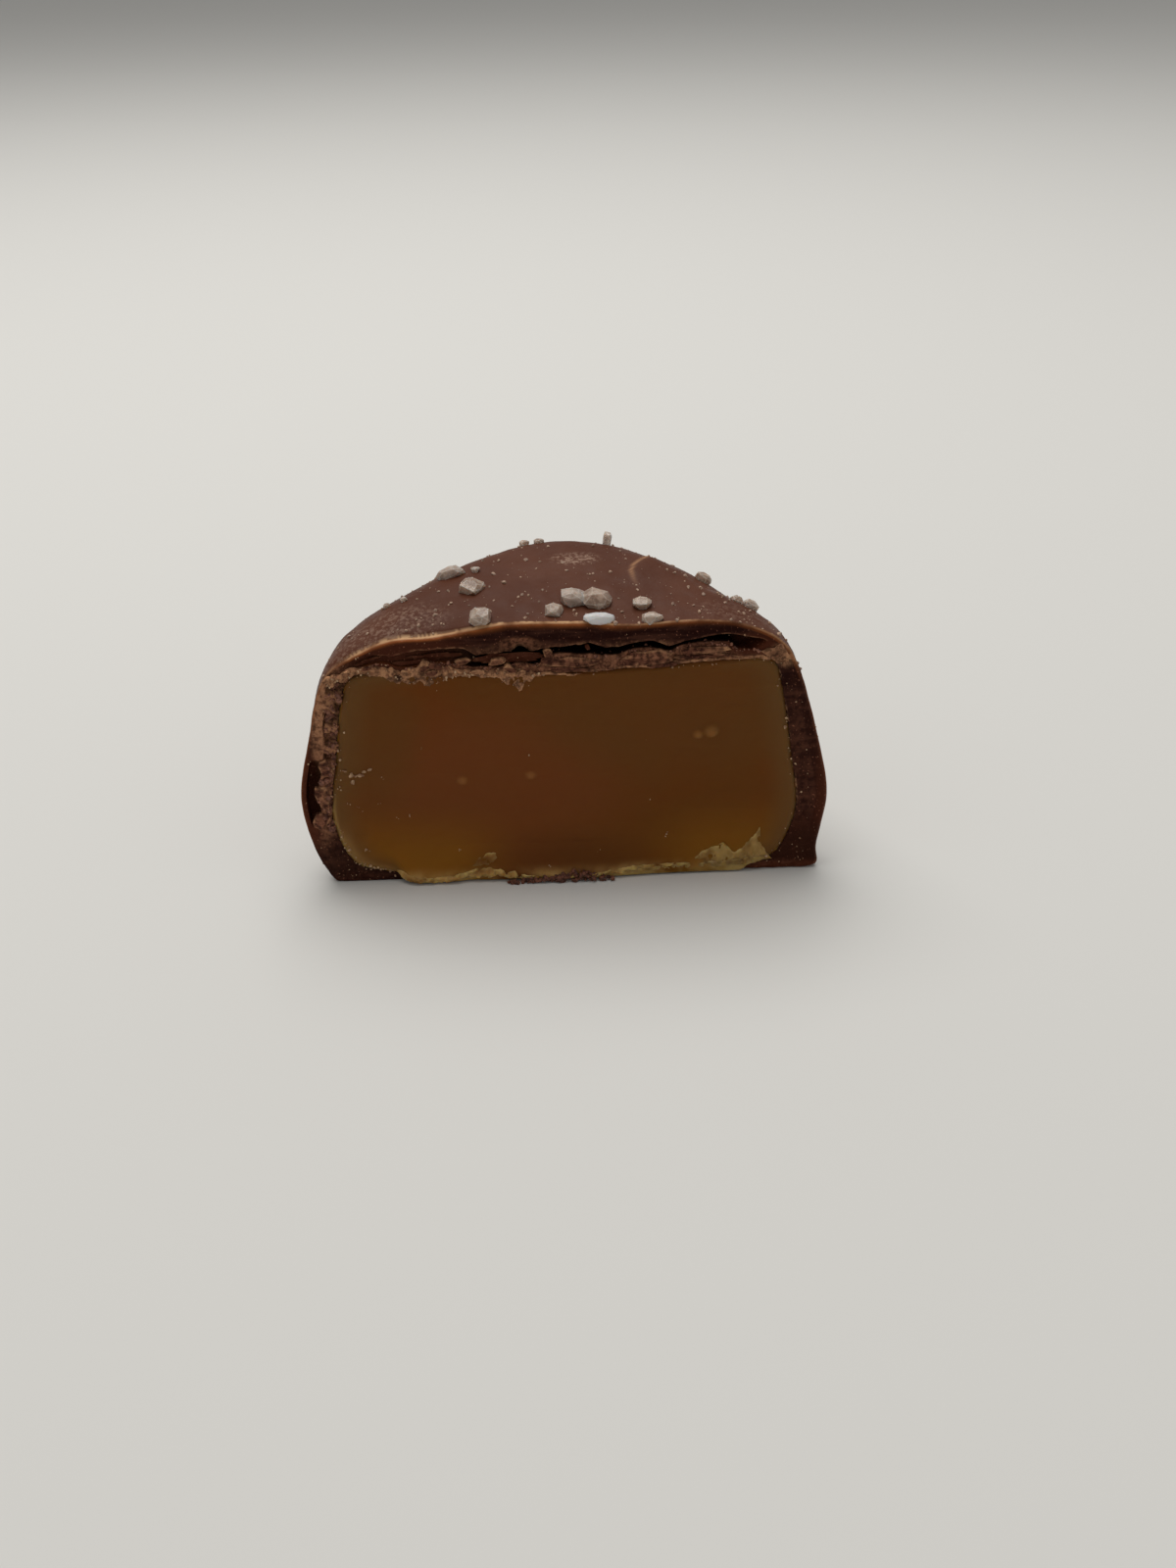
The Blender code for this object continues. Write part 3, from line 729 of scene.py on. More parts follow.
def turn_samples(steps):
    """Turns from 0 to half a circle, crowded towards both ends."""
    share = np.linspace(-1.0, 1.0, steps + 1)
    return (0.5 + 0.5 * (0.62 * share + 0.38 * np.sin(share * math.pi / 2))) * math.pi


def normals_of(points):
    """Unit normals of a grid of points, outward for a turn-by-level grid."""
    along_rows, along_columns = np.gradient(points, axis=0), np.gradient(points, axis=1)
    normal = np.cross(along_rows, along_columns)
    return normal / np.maximum(np.linalg.norm(normal, axis=-1, keepdims=True), 1e-9)


def fold_relief(points):
    """Height of the fold and the mask of its painted highlight: steep towards -X, and a long slope towards
    +X.
    """
    start = np.array(FOLD[:-1])
    step = np.array(FOLD[1:]) - start
    best = np.full(points.shape[:-1], 1e9)
    side, fade = np.zeros_like(best), np.zeros_like(best)
    for index, (origin, run) in enumerate(zip(start, step)):
        offset = points[..., :2] - origin
        share = np.clip((offset @ run) / (run @ run), 0.0, 1.0)
        away = offset - share[..., None] * run
        distance = np.linalg.norm(away, axis=-1)
        closer = distance < best
        best = np.where(closer, distance, best)
        side = np.where(closer, np.sign(run[0] * offset[..., 1] - run[1] * offset[..., 0]), side)
        fade = np.where(closer, 1.0 - (index + share) / len(step), fade)
    signed = best * side
    strength = smooth(fade * 2.2) * smooth((1.0 - fade) * 7.0) * (points[..., 2] > CROWN_HEIGHT)
    slope = np.where(signed > 0, smooth(1 - signed / FOLD_SLOPE), smooth(1 + signed / FOLD_FRONT))
    edge = strength * np.exp(-((signed + 0.10) / 0.13) ** 2)
    return FOLD_HEIGHT * strength * slope, edge


def scuff_paint(points):
    """Where the coat was rubbed pale, from soft round patches."""
    paint = np.zeros(points.shape[:-1])
    on_top = points[..., 2] > SHOULDER_HEIGHT
    for *place, amount in SCUFFS:
        rubbed = patch(points[..., 0], points[..., 1], *place, reach=1.5)
        paint = np.maximum(paint, amount * rubbed * on_top)
    return paint


def lip_depth(points):
    """How far the outside's edge is drawn back behind the cut."""
    x, z = points[..., 0], points[..., 2]
    on_top = smooth((z - 17.0) / 2.0)
    wall = np.where(x > 0, WALL_BEVEL_RIGHT, WALL_BEVEL_LEFT)
    ragged = 1.0 + 0.22 * rough(points, 1.7, 3.0, 2)
    return (along(LIP_DEPTH, x) * on_top + wall * (1.0 - on_top)) * ragged


def outside_grid():
    """The coat's outside as points, with the mask of the fold's painted highlight."""
    turns = turn_samples(TURN_STEPS)[:, None]
    levels = np.linspace(0.0, LEVELS_UP, LEVEL_STEPS + 1)[None, :]
    points = coat_point(turns, levels)
    normal = normals_of(points)
    near_foot = smooth((3.0 - points[..., 2]) / 2.5)
    near_crown = smooth((LEVELS_UP - levels) / 0.4) * np.ones_like(near_foot)
    relief = 0.07 * rough(points, 3.2) + 0.02 * rough(points, 0.8, 9.0)
    relief += near_foot * 0.10 * rough(points, 1.1, 4.0)
    fold, fold_edge = fold_relief(points)
    off_base = smooth(points[..., 2] / 0.4)
    off_cut = smooth((points[..., 1] + 0.05) / 0.5)
    raised = (relief * off_base * (0.4 + 0.6 * off_cut) + fold) * near_crown
    points = points + normal * raised[..., None]
    points[..., 2] = np.maximum(points[..., 2], 0.0)
    points[:, 0, 2] = 0.0
    points[[0, -1], :, 1] = 0.0
    points[..., 1] += lip_depth(points) * smooth(1.0 - points[..., 1] / 2.5)
    return points, fold_edge


OUTSIDE, FOLD_HIGHLIGHT = outside_grid()
print("outside grid:", OUTSIDE.shape[:2], "from", OUTSIDE.min((0, 1)).round(2),
      "to", OUTSIDE.max((0, 1)).round(2), "mm")

# %% [markdown]
# The knife cut the candy from corner to corner, and the cut face tells the story of the coat. From
# the outside in, each ray from the middle meets a slanting lip, the smooth skin that ran over the
# top, a long gap where that skin let go, and a crumbly layer that stuck to the caramel. On the
# left the same gap opens again behind a skin half a millimetre thin. So the face is one ring of
# rays, and every ray has the same rows: only their places and depths change round the ring.

# %% Cut face: its rays and rows
FACE_MIDDLE = (0.0, 9.5)
BASE_STEPS = 200
# The gap under the skin of the top: its upper and lower edge as (x, z), and its depth along x.
GAP_CEILING = ((-18.2, 18.7), (-16.8, 19.4), (-15.5, 19.9), (-13.7, 19.75), (-10.4, 20.2), (-8.0, 20.2),
               (-7.4, 19.6), (-6.0, 19.75), (-4.6, 19.9), (-4.15, 20.3), (-3.6, 20.3), (-3.2, 19.9),
               (-1.7, 20.05), (0.7, 20.3), (1.3, 20.45), (2.6, 20.0), (3.6, 20.0), (5.9, 20.5),
               (7.4, 20.0), (9.7, 20.5), (11.2, 20.85), (12.7, 20.8), (14.7, 20.3), (15.6, 19.9))
GAP_FLOOR = ((-18.2, 18.4), (-17.5, 18.5), (-15.9, 18.9), (-14.3, 19.2), (-13.2, 18.75), (-12.5, 18.7),
             (-10.6, 19.1), (-8.8, 18.95), (-7.6, 18.6), (-5.4, 18.6), (-3.6, 18.9), (-2.9, 18.6),
             (-2.1, 19.05), (-1.3, 19.6), (0.4, 19.5), (1.6, 19.5), (2.2, 19.25), (3.5, 19.3),
             (4.2, 19.65), (5.9, 19.9), (7.4, 19.45), (8.3, 20.0), (12.0, 20.2), (12.6, 19.55),
             (14.8, 19.4), (15.6, 19.7))
GAP_DEPTH = ((-18.2, 0.0), (-17.0, 0.35), (-12.0, 0.5), (-8.6, 0.9), (-7.4, 2.4), (-5.0, 3.2),
             (3.0, 3.2), (9.0, 2.6), (12.0, 1.8), (14.8, 1.5), (15.6, 0.0))
# The pocket in the left wall: its depth along z, the skin in front of it and its width.
VOID_SIDE = -19.0
VOID_DEPTH = ((5.0, 0.0), (6.0, 1.2), (8.0, 1.7), (10.0, 1.3), (11.4, 0.0))
SKIN_THICK, VOID_WIDE = 0.40, 1.05
# Rays that cross no gap: near the foot, and up the right wall to this angle. Their gap rows are
# drawn together between two shares of the ray.
FOOT_PLAIN, RIGHT_PLAIN, PLAIN_SHARES = 2.5, math.radians(28.0), (0.4, 0.6)
LIP_WIDE = 0.28
ROWS = {"lip": 5, "skin": 10, "gap": 14, "body": 16}
IN_LIP, IN_SKIN, IN_GAP, IN_BODY = range(4)
BREAK_ROW = ROWS["lip"] + ROWS["skin"]


def polar(points):
    """Angle and radius of points (x, z) about the middle of the face."""
    offset = np.asarray(points, float) - FACE_MIDDLE
    return np.unwrap(np.arctan2(offset[:, 1], offset[:, 0])), np.hypot(offset[:, 0], offset[:, 1])


def core_outline(grow, steps=1500):
    """The caramel's outline on the cut as (x, z), from the right foot round over the top."""
    levels = np.linspace(0.0, CORE_LEVELS, steps)
    right = core_point(0.0, levels, grow)[:, [0, 2]]
    left = core_point(math.pi, levels, grow)[::-1][1:, [0, 2]]
    base = left[-1] + (right[0] - left[-1]) * np.linspace(0.0, 1.0, steps)[1:-1, None]
    return np.concatenate([right, left, base])


def ring_radius(curve, angle):
    """Radius of a closed outline at each angle."""
    its_angle, its_radius = polar(curve)
    return np.interp(angle, its_angle, its_radius, period=2 * math.pi)


def edge_radius(curve, angle):
    """Radius of an open curve listed from left to right, nan beyond its ends."""
    its_angle, its_radius = polar(np.array(curve)[::-1])
    return np.interp(angle, its_angle, its_radius, left=np.nan, right=np.nan)


def fill_between(shares, angle):
    """Fill the nan stretches of a row's shares from their neighbours round the ring."""
    known = ~np.isnan(shares)
    return np.interp(angle, angle[known], shares[known], period=2 * math.pi)


def cut_loop():
    """The outline of the cut: up the right side, down the left one and back along the base."""
    right, left = OUTSIDE[0], OUTSIDE[-1][::-1][1:]
    share = np.linspace(0.0, 1.0, BASE_STEPS)[:, None]
    base = left[-1] + (right[0] - left[-1]) * share
    return np.concatenate([right, left, base[1:]])


def gap_on_rays(loop, angle, outer, wide, in_void):
    """Where the gap begins and ends on each ray, as shares of its width, and how deep it is."""
    plain = (loop[:, 2] < FOOT_PLAIN) | ((loop[:, 0] > 0) & (angle < RIGHT_PLAIN))
    top, bottom = edge_radius(GAP_CEILING, angle), edge_radius(GAP_FLOOR, angle)
    ragged = rough(loop, 0.7, 2.0)
    begins = np.where(in_void, SKIN_THICK / wide, (outer - top - 0.08 * ragged) / wide)
    ends = np.where(in_void, (SKIN_THICK + VOID_WIDE) / wide, (outer - bottom - 0.06 * ragged[::-1]) / wide)
    depth = np.where(np.isnan(top) | np.isnan(bottom), 0.0, along(GAP_DEPTH, loop[:, 0]))
    depth = np.where(in_void, along(VOID_DEPTH, loop[:, 2]), depth)
    first, last = np.where(plain, PLAIN_SHARES[0], begins), np.where(plain, PLAIN_SHARES[1], ends)
    return fill_between(first, angle), fill_between(last, angle), depth


def ring_rows(loop, wide, first, last, depth, opened):
    """Share, depth and part of the face of every row, from the lip in to the caramel."""
    lip = np.minimum(LIP_WIDE / wide, 0.3)
    flat = np.zeros_like(wide)
    rows = []
    for step in range(ROWS["lip"]):
        part = step / ROWS["lip"]
        rows.append((lip * part, loop[:, 1] * (1.0 - part) ** 1.5, IN_LIP))
    for step in range(ROWS["skin"]):
        rows.append((lip + (first - lip) * step / ROWS["skin"], flat, IN_SKIN))
    for step in range(ROWS["gap"]):
        part = step / ROWS["gap"]
        travel = opened * smooth((part - 0.3) / 0.4) + (1.0 - opened) * part
        back = depth * smooth(part / 0.34) * smooth((1.0 - part) / 0.34)
        rows.append((first + (last - first) * travel, back, IN_GAP))
    for step in range(ROWS["body"] + 1):
        rows.append((last + (1.0 - last) * step / ROWS["body"], flat, IN_BODY))
    shares, backs, parts = (np.array(column) for column in zip(*rows))
    return shares, backs, parts[:, None]


print("cut outline:", len(cut_loop()), "rays, rows:", ROWS)

# %% [markdown]
# Broken chocolate is rough in its own way in each place: the layer above the caramel is crumbly,
# the left wall is pitted and the solid feet are nearly smooth. A few soft round patches say where,
# and noise does the rest, which is far quicker to adjust than a modelled surface.

# %% Cut face: its roughness
# Where the face is crumbly, tan or red: (x, z, half width, half height, crumb, tan, red, relief).
# The red strip down the right wall's outer edge is partly the chocolate's red and partly a painted sheen.
PATCHES = ((0.0, 19.0, 17.0, 1.1, 0.75, 0.14, 0.2, 0.20), (-18.6, 14.5, 1.7, 4.2, 1.0, 0.46, 0.3, 0.20),
           (-19.3, 7.5, 1.2, 4.5, 1.0, 0.26, 0.4, 0.26), (-20.9, 7.5, 0.7, 4.5, 0.1, 0.0, 1.0, 0.04),
           (-13.0, 19.3, 4.6, 0.8, 0.15, 0.0, 1.0, 0.10), (-17.5, 2.5, 2.6, 2.6, 0.14, 0.0, 0.2, 0.07),
           (19.8, 9.0, 0.8, 9.0, 0.06, 0.0, 0.9, 0.03), (18.0, 9.0, 1.2, 9.0, 0.16, 0.0, 0.1, 0.06),
           (17.6, 2.2, 2.6, 2.2, 0.05, 0.0, 0.7, 0.05), (17.2, 0.2, 3.6, 0.55, 0.30, 0.0, 1.0, 0.09),
           (-13.0, 20.5, 4.0, 0.7, 0.1, 0.0, 0.8, 0.05), (-4.0, 20.4, 1.2, 0.5, 0.95, 0.12, 0.0, 0.34),
           (13.8, 19.9, 1.8, 0.8, 0.0, 0.0, 1.0, 0.03), (16.6, 19.0, 1.2, 0.8, 0.6, 0.6, 0.0, 0.10))
PLAIN_RELIEF = 0.04
PIT_SIZE, PIT_DEPTH = (0.95, 1.0, 0.85), 0.55
# A crumbled notch in the skin: (x, z, half width, half height), and its depth.
NOTCH, NOTCH_DEPTH = (-4.2, 20.35, 1.5, 0.55), 0.45


def patch_values(x, z):
    """Crumb, tan, red and relief of the face at (x, z), from soft round patches."""
    values = np.zeros((4, *x.shape))
    values[3] = PLAIN_RELIEF
    for *place, crumb, tan, red, relief in PATCHES:
        inside = patch(x, z, *place)
        for index, amount in enumerate((crumb, tan, red, relief)):
            values[index] += (amount - values[index]) * inside
    return values


def roughen_ring(points, parts, relief):
    """Push the face in and out: grain, pits in the left wall and the notch in the skin."""
    x, z = points[..., 0], points[..., 2]
    fine, broad = rough(points, 0.42, 6.0, 3), rough(points, 1.6, 1.0)
    hold = smooth(np.arange(len(points)) / 4.0)[:, None] * np.where(parts == IN_GAP, 0.6, 1.0)
    points[..., 1] += hold * (0.04 + relief * (0.7 * fine + 0.6 * broad))
    up_the_wall = smooth((z - 10.6) / 0.8) * smooth((18.2 - z) / 0.8)
    broken = smooth((-17.2 - x) / 0.5) * up_the_wall * (parts == IN_BODY)
    pits = smooth((cells(points + 0.12 * fine[..., None], PIT_SIZE) - 0.58) / 0.05) * broken
    points[..., 1] += PIT_DEPTH * pits
    notch_x, notch_z, wide, high = NOTCH
    in_notch = smooth(1.5 - np.hypot((x - notch_x) / wide, (z - notch_z) / high) + 0.25 * fine)
    points[..., 1] += NOTCH_DEPTH * in_notch * (parts == IN_SKIN)
    points[..., 1] = np.where(parts == IN_LIP, np.maximum(points[..., 1], 0.0), points[..., 1])
    return pits, in_notch


print("patches on the face:", len(PATCHES))

# %% [markdown]
# The finish of the cut reads painted values, so this cell works them out row by row: the lip's
# painted highlight with a painted orange glow behind it, the tan crumb where the skin broke, and
# painted shade in the gap, in the pits of the left wall and on the wall's feet.

# %% Cut face: its painted values
# How dark the painted shade in the gap is along x.
GAP_SHADE = ((-22.0, 0.1), (-18.0, 0.1), (-9.0, 0.25), (-7.0, 1.0), (12.0, 1.0), (13.0, 0.3), (16.0, 0.1))
# How strong the lip's painted highlight and painted glow are along x.
LIP_HIGHLIGHT_ALONG = ((-19.8, 0.10), (-18.5, 0.30), (-16.5, 0.60), (-12.0, 0.85), (-7.0, 0.95), (-2.0, 0.85),
           (3.0, 0.65), (7.0, 0.45), (10.0, 0.30), (12.5, 0.12), (14.5, 0.30), (16.5, 0.35))
# Feet of the wall, which lie in shade: (x, z, half width, half height, how dark)
SHADED = ((-17.0, 1.6, 3.2, 2.6, 0.45), (17.6, 1.4, 3.2, 2.6, 0.50))


def lip_paint(points, number, high):
    """The lip's painted highlight and painted orange glow; the glow runs on down both walls' outer edges as
    painted sheen.
    """
    x, z = points[..., 0], points[..., 2]
    strength = high * along(LIP_HIGHLIGHT_ALONG, x) * np.clip(0.85 + 0.7 * rough(points, 1.2, 8.0), 0.0, 1.0)
    pale = smooth((ROWS["lip"] - 2.0 - number) / 2.0) * strength
    orange = smooth((ROWS["lip"] + 2.0 - number) / 3.0) * np.sqrt(strength)
    # Down the outer edges of both walls the orange is a painted sheen.
    on_left_wall = smooth((-16.5 - x) / 1.0) * smooth((z - 3.0) / 3.0) * smooth((19.0 - z) / 1.5)
    on_right_wall = smooth((x - 15.5) / 1.5) * smooth((18.0 - z) / 2.0)
    wall_sheen = np.maximum(on_left_wall, 0.8 * on_right_wall)
    return pale, np.maximum(orange, 0.5 * smooth((2.6 - number) / 1.8) * wall_sheen)


def ring_paint(points, parts, patches, pits, in_notch, opened, in_void):
    """What the finish reads on the cut, row by row."""
    x, z = points[..., 0], points[..., 2]
    crumb, tan, red = patches
    number = np.arange(len(points))[:, None]
    high = smooth((z - 16.8) / 1.0)
    pale, orange = lip_paint(points, number, high)
    of_skin = 0.22 + 0.78 * np.maximum(in_notch, smooth((-17.0 - x) / 1.0))
    crumb = crumb * np.where(parts == IN_SKIN, of_skin, 1.0)
    at_break = np.exp(-((number - BREAK_ROW) / 0.9) ** 2) * opened * high
    tan = np.maximum(tan, at_break * 0.30 * smooth(0.4 + rough(points, 0.8, 3.0)))
    crumb = np.maximum(crumb, at_break * 0.8)
    on_right = smooth((x - 14.5) / 1.5) * smooth((z - 4.0) / 2.0)
    by_caramel = smooth((number - len(points) + 2.6) / 1.4) * on_right
    tan = np.maximum(tan, 0.45 * by_caramel * smooth(0.35 + rough(points, 0.9, 5.0)))
    inside_gap = (parts == IN_GAP) * opened
    gap_floor = smooth((number - BREAK_ROW - 8.0) / 4.0) * inside_gap * high
    orange = np.maximum(orange, 0.5 * gap_floor * smooth((-7.5 - x) / 1.5))
    # Less pale crumb in the gap and in the pits: painted shade in these recesses.
    crumb = crumb * (1.0 - np.where(in_void, 0.95, 0.6) * inside_gap) * (1.0 - 0.75 * pits)
    # Painted shade: in the gap by its depth, and on the wall's feet.
    deep = inside_gap * smooth(points[..., 1] / 0.35) * along(GAP_SHADE, x)
    for *place, amount in SHADED:
        deep = np.maximum(deep, amount * patch(x, z, *place) * smooth((z - 0.35) / 0.7))
    return dict(crumb=crumb, tan=tan, red=red, deep=deep, smear=pale, gold=orange)


print("lip tan from", min(LIP_HIGHLIGHT_ALONG)[0], "to", max(LIP_HIGHLIGHT_ALONG)[0], "mm")

# %% [markdown]
# Now the parts come together: the outline gives the rays, the gap gives the rows, and roughness
# and paint are laid on the finished grid. The outermost row is the edge of the outside, so the two
# meet without a seam.

# %% Cut face: the finished ring


def cut_ring():
    """Rows of points from the cut's outer edge in to the caramel, one column a ray, and their paint."""
    loop = cut_loop()
    angle, outer = polar(loop[:, [0, 2]])
    wide = outer - ring_radius(core_outline(HALF_GAP), angle)
    low, high = VOID_DEPTH[0][0], VOID_DEPTH[-1][0]
    in_void = (loop[:, 0] < VOID_SIDE) & (loop[:, 2] > low) & (loop[:, 2] < high)
    first, last, depth = gap_on_rays(loop, angle, outer, wide, in_void)
    opened = smooth(depth / 0.5)
    shares, backs, parts = ring_rows(loop, wide, first, last, depth, opened)
    radius = outer - shares * wide
    x, z = FACE_MIDDLE[0] + radius * np.cos(angle), FACE_MIDDLE[1] + radius * np.sin(angle)
    points = np.stack([x, backs, z], -1)
    *patches, relief = patch_values(x, z)
    pits, in_notch = roughen_ring(points, parts, relief)
    points[0] = loop
    return points, ring_paint(points, parts, patches, pits, in_notch, opened, in_void)


CUT_RING, CUT_PAINT = cut_ring()
print("cut ring:", CUT_RING.shape[:2], "deepest", CUT_RING[..., 1].max().round(2), "mm")

# %% [markdown]
# Behind the face the caramel lies in a hollow, which is a square pillow again. Its outline keeps
# its height and only narrows towards the far corner, so a few rows close the coat from the inside.

# %% Chocolate coat
CORE_DEPTH = 18.4
HOLLOW_SHARES = (0.0, 0.02, 0.12, 0.35, 0.65, 0.90, 0.97)


def hollow_rows(edge):
    """Rows that carry an edge on the cut back to the far corner of the caramel."""
    rows = []
    for share in HOLLOW_SHARES:
        row = edge.copy()
        row[:, 0] *= 1.0 - share
        row[:, 1] += (CORE_DEPTH - edge[:, 1]) * share
        rows.append(row)
    return np.array(rows)


# The outside's edge at the cut shares the cut's paint, but less of the lip's painted highlight.
OUTSIDE_HIGHLIGHT_SHARE = 0.35
edge_paint = {name: np.zeros(OUTSIDE.shape[:2]) for name in CUT_PAINT}
for name, values in CUT_PAINT.items():
    edge_paint[name][0] = values[0, :LEVEL_STEPS + 1]
    edge_paint[name][-1] = values[0, LEVEL_STEPS:2 * LEVEL_STEPS + 1][::-1]
edge_paint["smear"] *= OUTSIDE_HIGHLIGHT_SHARE
# The fold's painted highlight, in tan.
edge_paint["tan"] += FOLD_HIGHLIGHT * FOLD_HIGHLIGHT_TAN
coat_skin = Skin()
coat_skin.grid(OUTSIDE, finish=0, scuff=scuff_paint(OUTSIDE), **edge_paint)
coat_skin.grid(CUT_RING, finish=1, **CUT_PAINT)
coat_skin.grid(hollow_rows(CUT_RING[-1]), finish=1)
settle(coat_skin.build("coat", (SATIN, CUT)), ("chocolate_coat",))

# %% [markdown]
# The caramel fills the hollow. A warm knife leaves its face smooth, with faint streaks along the
# stroke, and pulls a little of it down over the coat's lower edge. The rows near the lower rim
# therefore swing forward and down before they run up the face.

# %% Caramel centre
# The lip's section as (forward, height), from under the base up to the face, where along the cut
# it begins, ends and fades, and how far it reaches in each place.
LIP = ((0.36, 0.86), (0.42, 0.25), (0.80, 0.10), (1.00, 0.55), (0.78, 1.3), (0.40, 2.2), (0.12, 3.2))
LIP_FROM, LIP_TO, LIP_FADE = -15.0, 15.4, 2.2
LIP_REACH = ((-16.0, 0.90), (-12.0, 0.90), (-7.5, 0.60), (-3.5, 0.85), (1.0, 0.85), (4.0, 0.55),
             (8.0, 0.32), (16.0, 0.28))
LIP_SHARE = 0.28
CARAMEL_COLUMNS, LIP_ROWS, FACE_ROWS = 640, 26, 60
CARAMEL_GROW = 0.10
# The rim lies a little behind the cut, and the face stands this much further forward.
RIM_BACK, FACE_RISE = 0.10, 0.16
# Small lumps, and one dent, on the face: (x, z, size, rise).
LUMPS = ((10.75, 12.75, 0.5, 0.34), (9.75, 12.5, 0.35, 0.24), (-8.8, 9.0, 0.35, 0.14),
         (-3.4, 9.3, 0.35, 0.12), (-16.8, 4.6, 0.55, -0.10))
LUMP_PALE = 0.14
# Clouds in the caramel, the first red brown and the others olive: (x, z, half width, half height,
# amount).
TONES = ((-6.0, 8.0, 9.0, 6.5, 0.8), (8.0, 15.0, 10.0, 5.0, 0.7), (-15.5, 13.5, 3.0, 5.5, 0.6))
# Where painted shade darkens the caramel towards its foot: (x, z, half width, half height).
FOOT_SHADE = (-0.6, 0.9, 4.5, 2.4)


def lip_weight(x):
    """1 along the lip, fading to 0 at both of its ends."""
    return smooth((x - LIP_FROM) / LIP_FADE) * smooth((LIP_TO - x) / LIP_FADE)


def lip_swing(x, z):
    """The lip doesn't sag evenly: a factor about 1 that changes slowly along it."""
    return along(LIP_REACH, x) * (1.0 + 0.16 * rough(np.stack([x, x * 0.0, z], -1), 2.4, 9.0))


def even_loop(curve, steps):
    """Points evenly spaced along a closed curve, the first one repeated at the end."""
    closed = np.concatenate([curve, curve[:1]])
    run = np.concatenate([[0.0], np.cumsum(np.hypot(*np.diff(closed, axis=0).T))])
    place = np.linspace(0.0, run[-1], steps + 1)
    return np.stack([np.interp(place, run, closed[:, 0]), np.interp(place, run, closed[:, 1])], -1)


def lump_at(x, z, lump_x, lump_z, size):
    """A small lump with a flat top: 1 in its middle and nearly 0 beyond its size."""
    return np.exp(-(((x - lump_x) ** 2 + (z - lump_z) ** 2) / size ** 2) ** 2)


def caramel_rows():
    """Share of each row from the middle, and its places in x and z with the lip swung down."""
    loop = even_loop(core_outline(CARAMEL_GROW), CARAMEL_COLUMNS)
    shares = np.concatenate([np.linspace(1.0, 1.0 - LIP_SHARE, LIP_ROWS, endpoint=False),
                             (1.0 - LIP_SHARE) * np.linspace(1.0, 0.0, FACE_ROWS)])[:, None]
    flat = FACE_MIDDLE + (loop - FACE_MIDDLE) * shares[..., None]
    x, z = flat[..., 0], flat[..., 1]
    lip_run = np.clip((1.0 - shares) / LIP_SHARE, 0.0, 1.0) * (len(LIP) - 1)
    forward, height = (np.interp(lip_run, range(len(LIP)), values) for values in zip(*LIP))
    weight = lip_weight(x) * smooth((2.2 - loop[:, 1]) / 1.2)
    in_lip = smooth((shares - (1.0 - LIP_SHARE)) / 0.02)
    return shares, x, z + (height - z) * weight * in_lip, forward * weight, weight


def caramel_depth(shares, x, z, forward):
    """How far the face stands forward or back: the lip, the streaks of the knife and the lumps."""
    place = np.stack([x, np.zeros_like(x), z], -1)
    rim = smooth((1.0 - shares) / 0.03)
    relief = (0.05 * rough(place, (6.0, 2.0, 1.5), 2.0) + 0.03 * rough(place, 2.2, 4.0)
              + 0.012 * rough(place, 0.5, 7.0))
    fade_up = np.where(shares > 1.0 - LIP_SHARE, 1.0, smooth(shares / (1.0 - LIP_SHARE) * 4 - 3))
    y = RIM_BACK - FACE_RISE * rim - forward * fade_up * lip_swing(x, z) + relief * rim
    for *lump, rise in LUMPS:
        y -= rise * lump_at(x, z, *lump)
    return y


def caramel_paint(shares, x, z, weight):
    """What the finish reads: pale, gold, red and olive places, the bright rim and the shade."""
    place = np.stack([x, np.zeros_like(x), z], -1)
    patchy = np.clip(0.6 + 0.8 * rough(place, 1.5, 3.0), 0.0, 1.0)
    smear = 0.7 * weight * smooth((1.6 - z) / 1.3) * patchy
    for *lump, rise in LUMPS:
        smear = np.maximum(smear, LUMP_PALE * lump_at(x, z, *lump) * (rise > 0.0))
    line = smooth((shares - 0.975) / 0.02) * smooth((-13.0 - x) / 2.0) * smooth((9.0 - z) / 3.0)
    soft_line = smooth((shares - 0.93) / 0.05) * smooth((-13.5 - x) / 2.0) * smooth((6.0 - z) / 3.0)
    smear = np.maximum(smear, np.maximum(0.45 * line, 0.22 * soft_line))
    from_middle = np.abs(x - 0.5)
    gold = smooth((7.5 - z) / 6.0) * (0.15 + 0.85 * smooth((from_middle - 4.0) / 7.0))
    shade_x, shade_z, wide, high = FOOT_SHADE
    shade = 0.50 * smooth((2.0 - np.hypot((x - shade_x) / wide, (z - shade_z) / high)) / 1.6)
    near_rim = smooth((shares - 0.84) / 0.16) * smooth((from_middle - 9.0) / 6.0)
    red, *olive = (amount * patch(x, z, *tone) for *tone, amount in TONES)
    return dict(smear=smear, gold=gold, rim=near_rim, red=red, deep=np.maximum(*olive), shade=shade)


def caramel_front():
    """The grid from the caramel's outline over the lip and the face to the middle, and its paint."""
    shares, x, z, forward, weight = caramel_rows()
    points = np.stack([x, caramel_depth(shares, x, z, forward), z], -1)
    points[:, -1] = points[:, 0]
    return points, caramel_paint(shares, x, z, weight)


CARAMEL_FRONT, CARAMEL_PAINT = caramel_front()
caramel_skin = Skin()
caramel_skin.grid(CARAMEL_FRONT, **CARAMEL_PAINT)
caramel_skin.grid(hollow_rows(CARAMEL_FRONT[0]))
settle(caramel_skin.build("caramel", (CARAMEL,)), ("caramel_centre",))

# %% [markdown]
# Where the gap closes the chocolate has torn into thin flakes, with a ragged outline and layers
# that show on their broken edge, and a pale rim that is partly those layers and partly a painted
# highlight. Each flake is a ring mesh: rows run from its middle to the outline, round the edge and
# into the face behind, so that no flake hangs in the air.

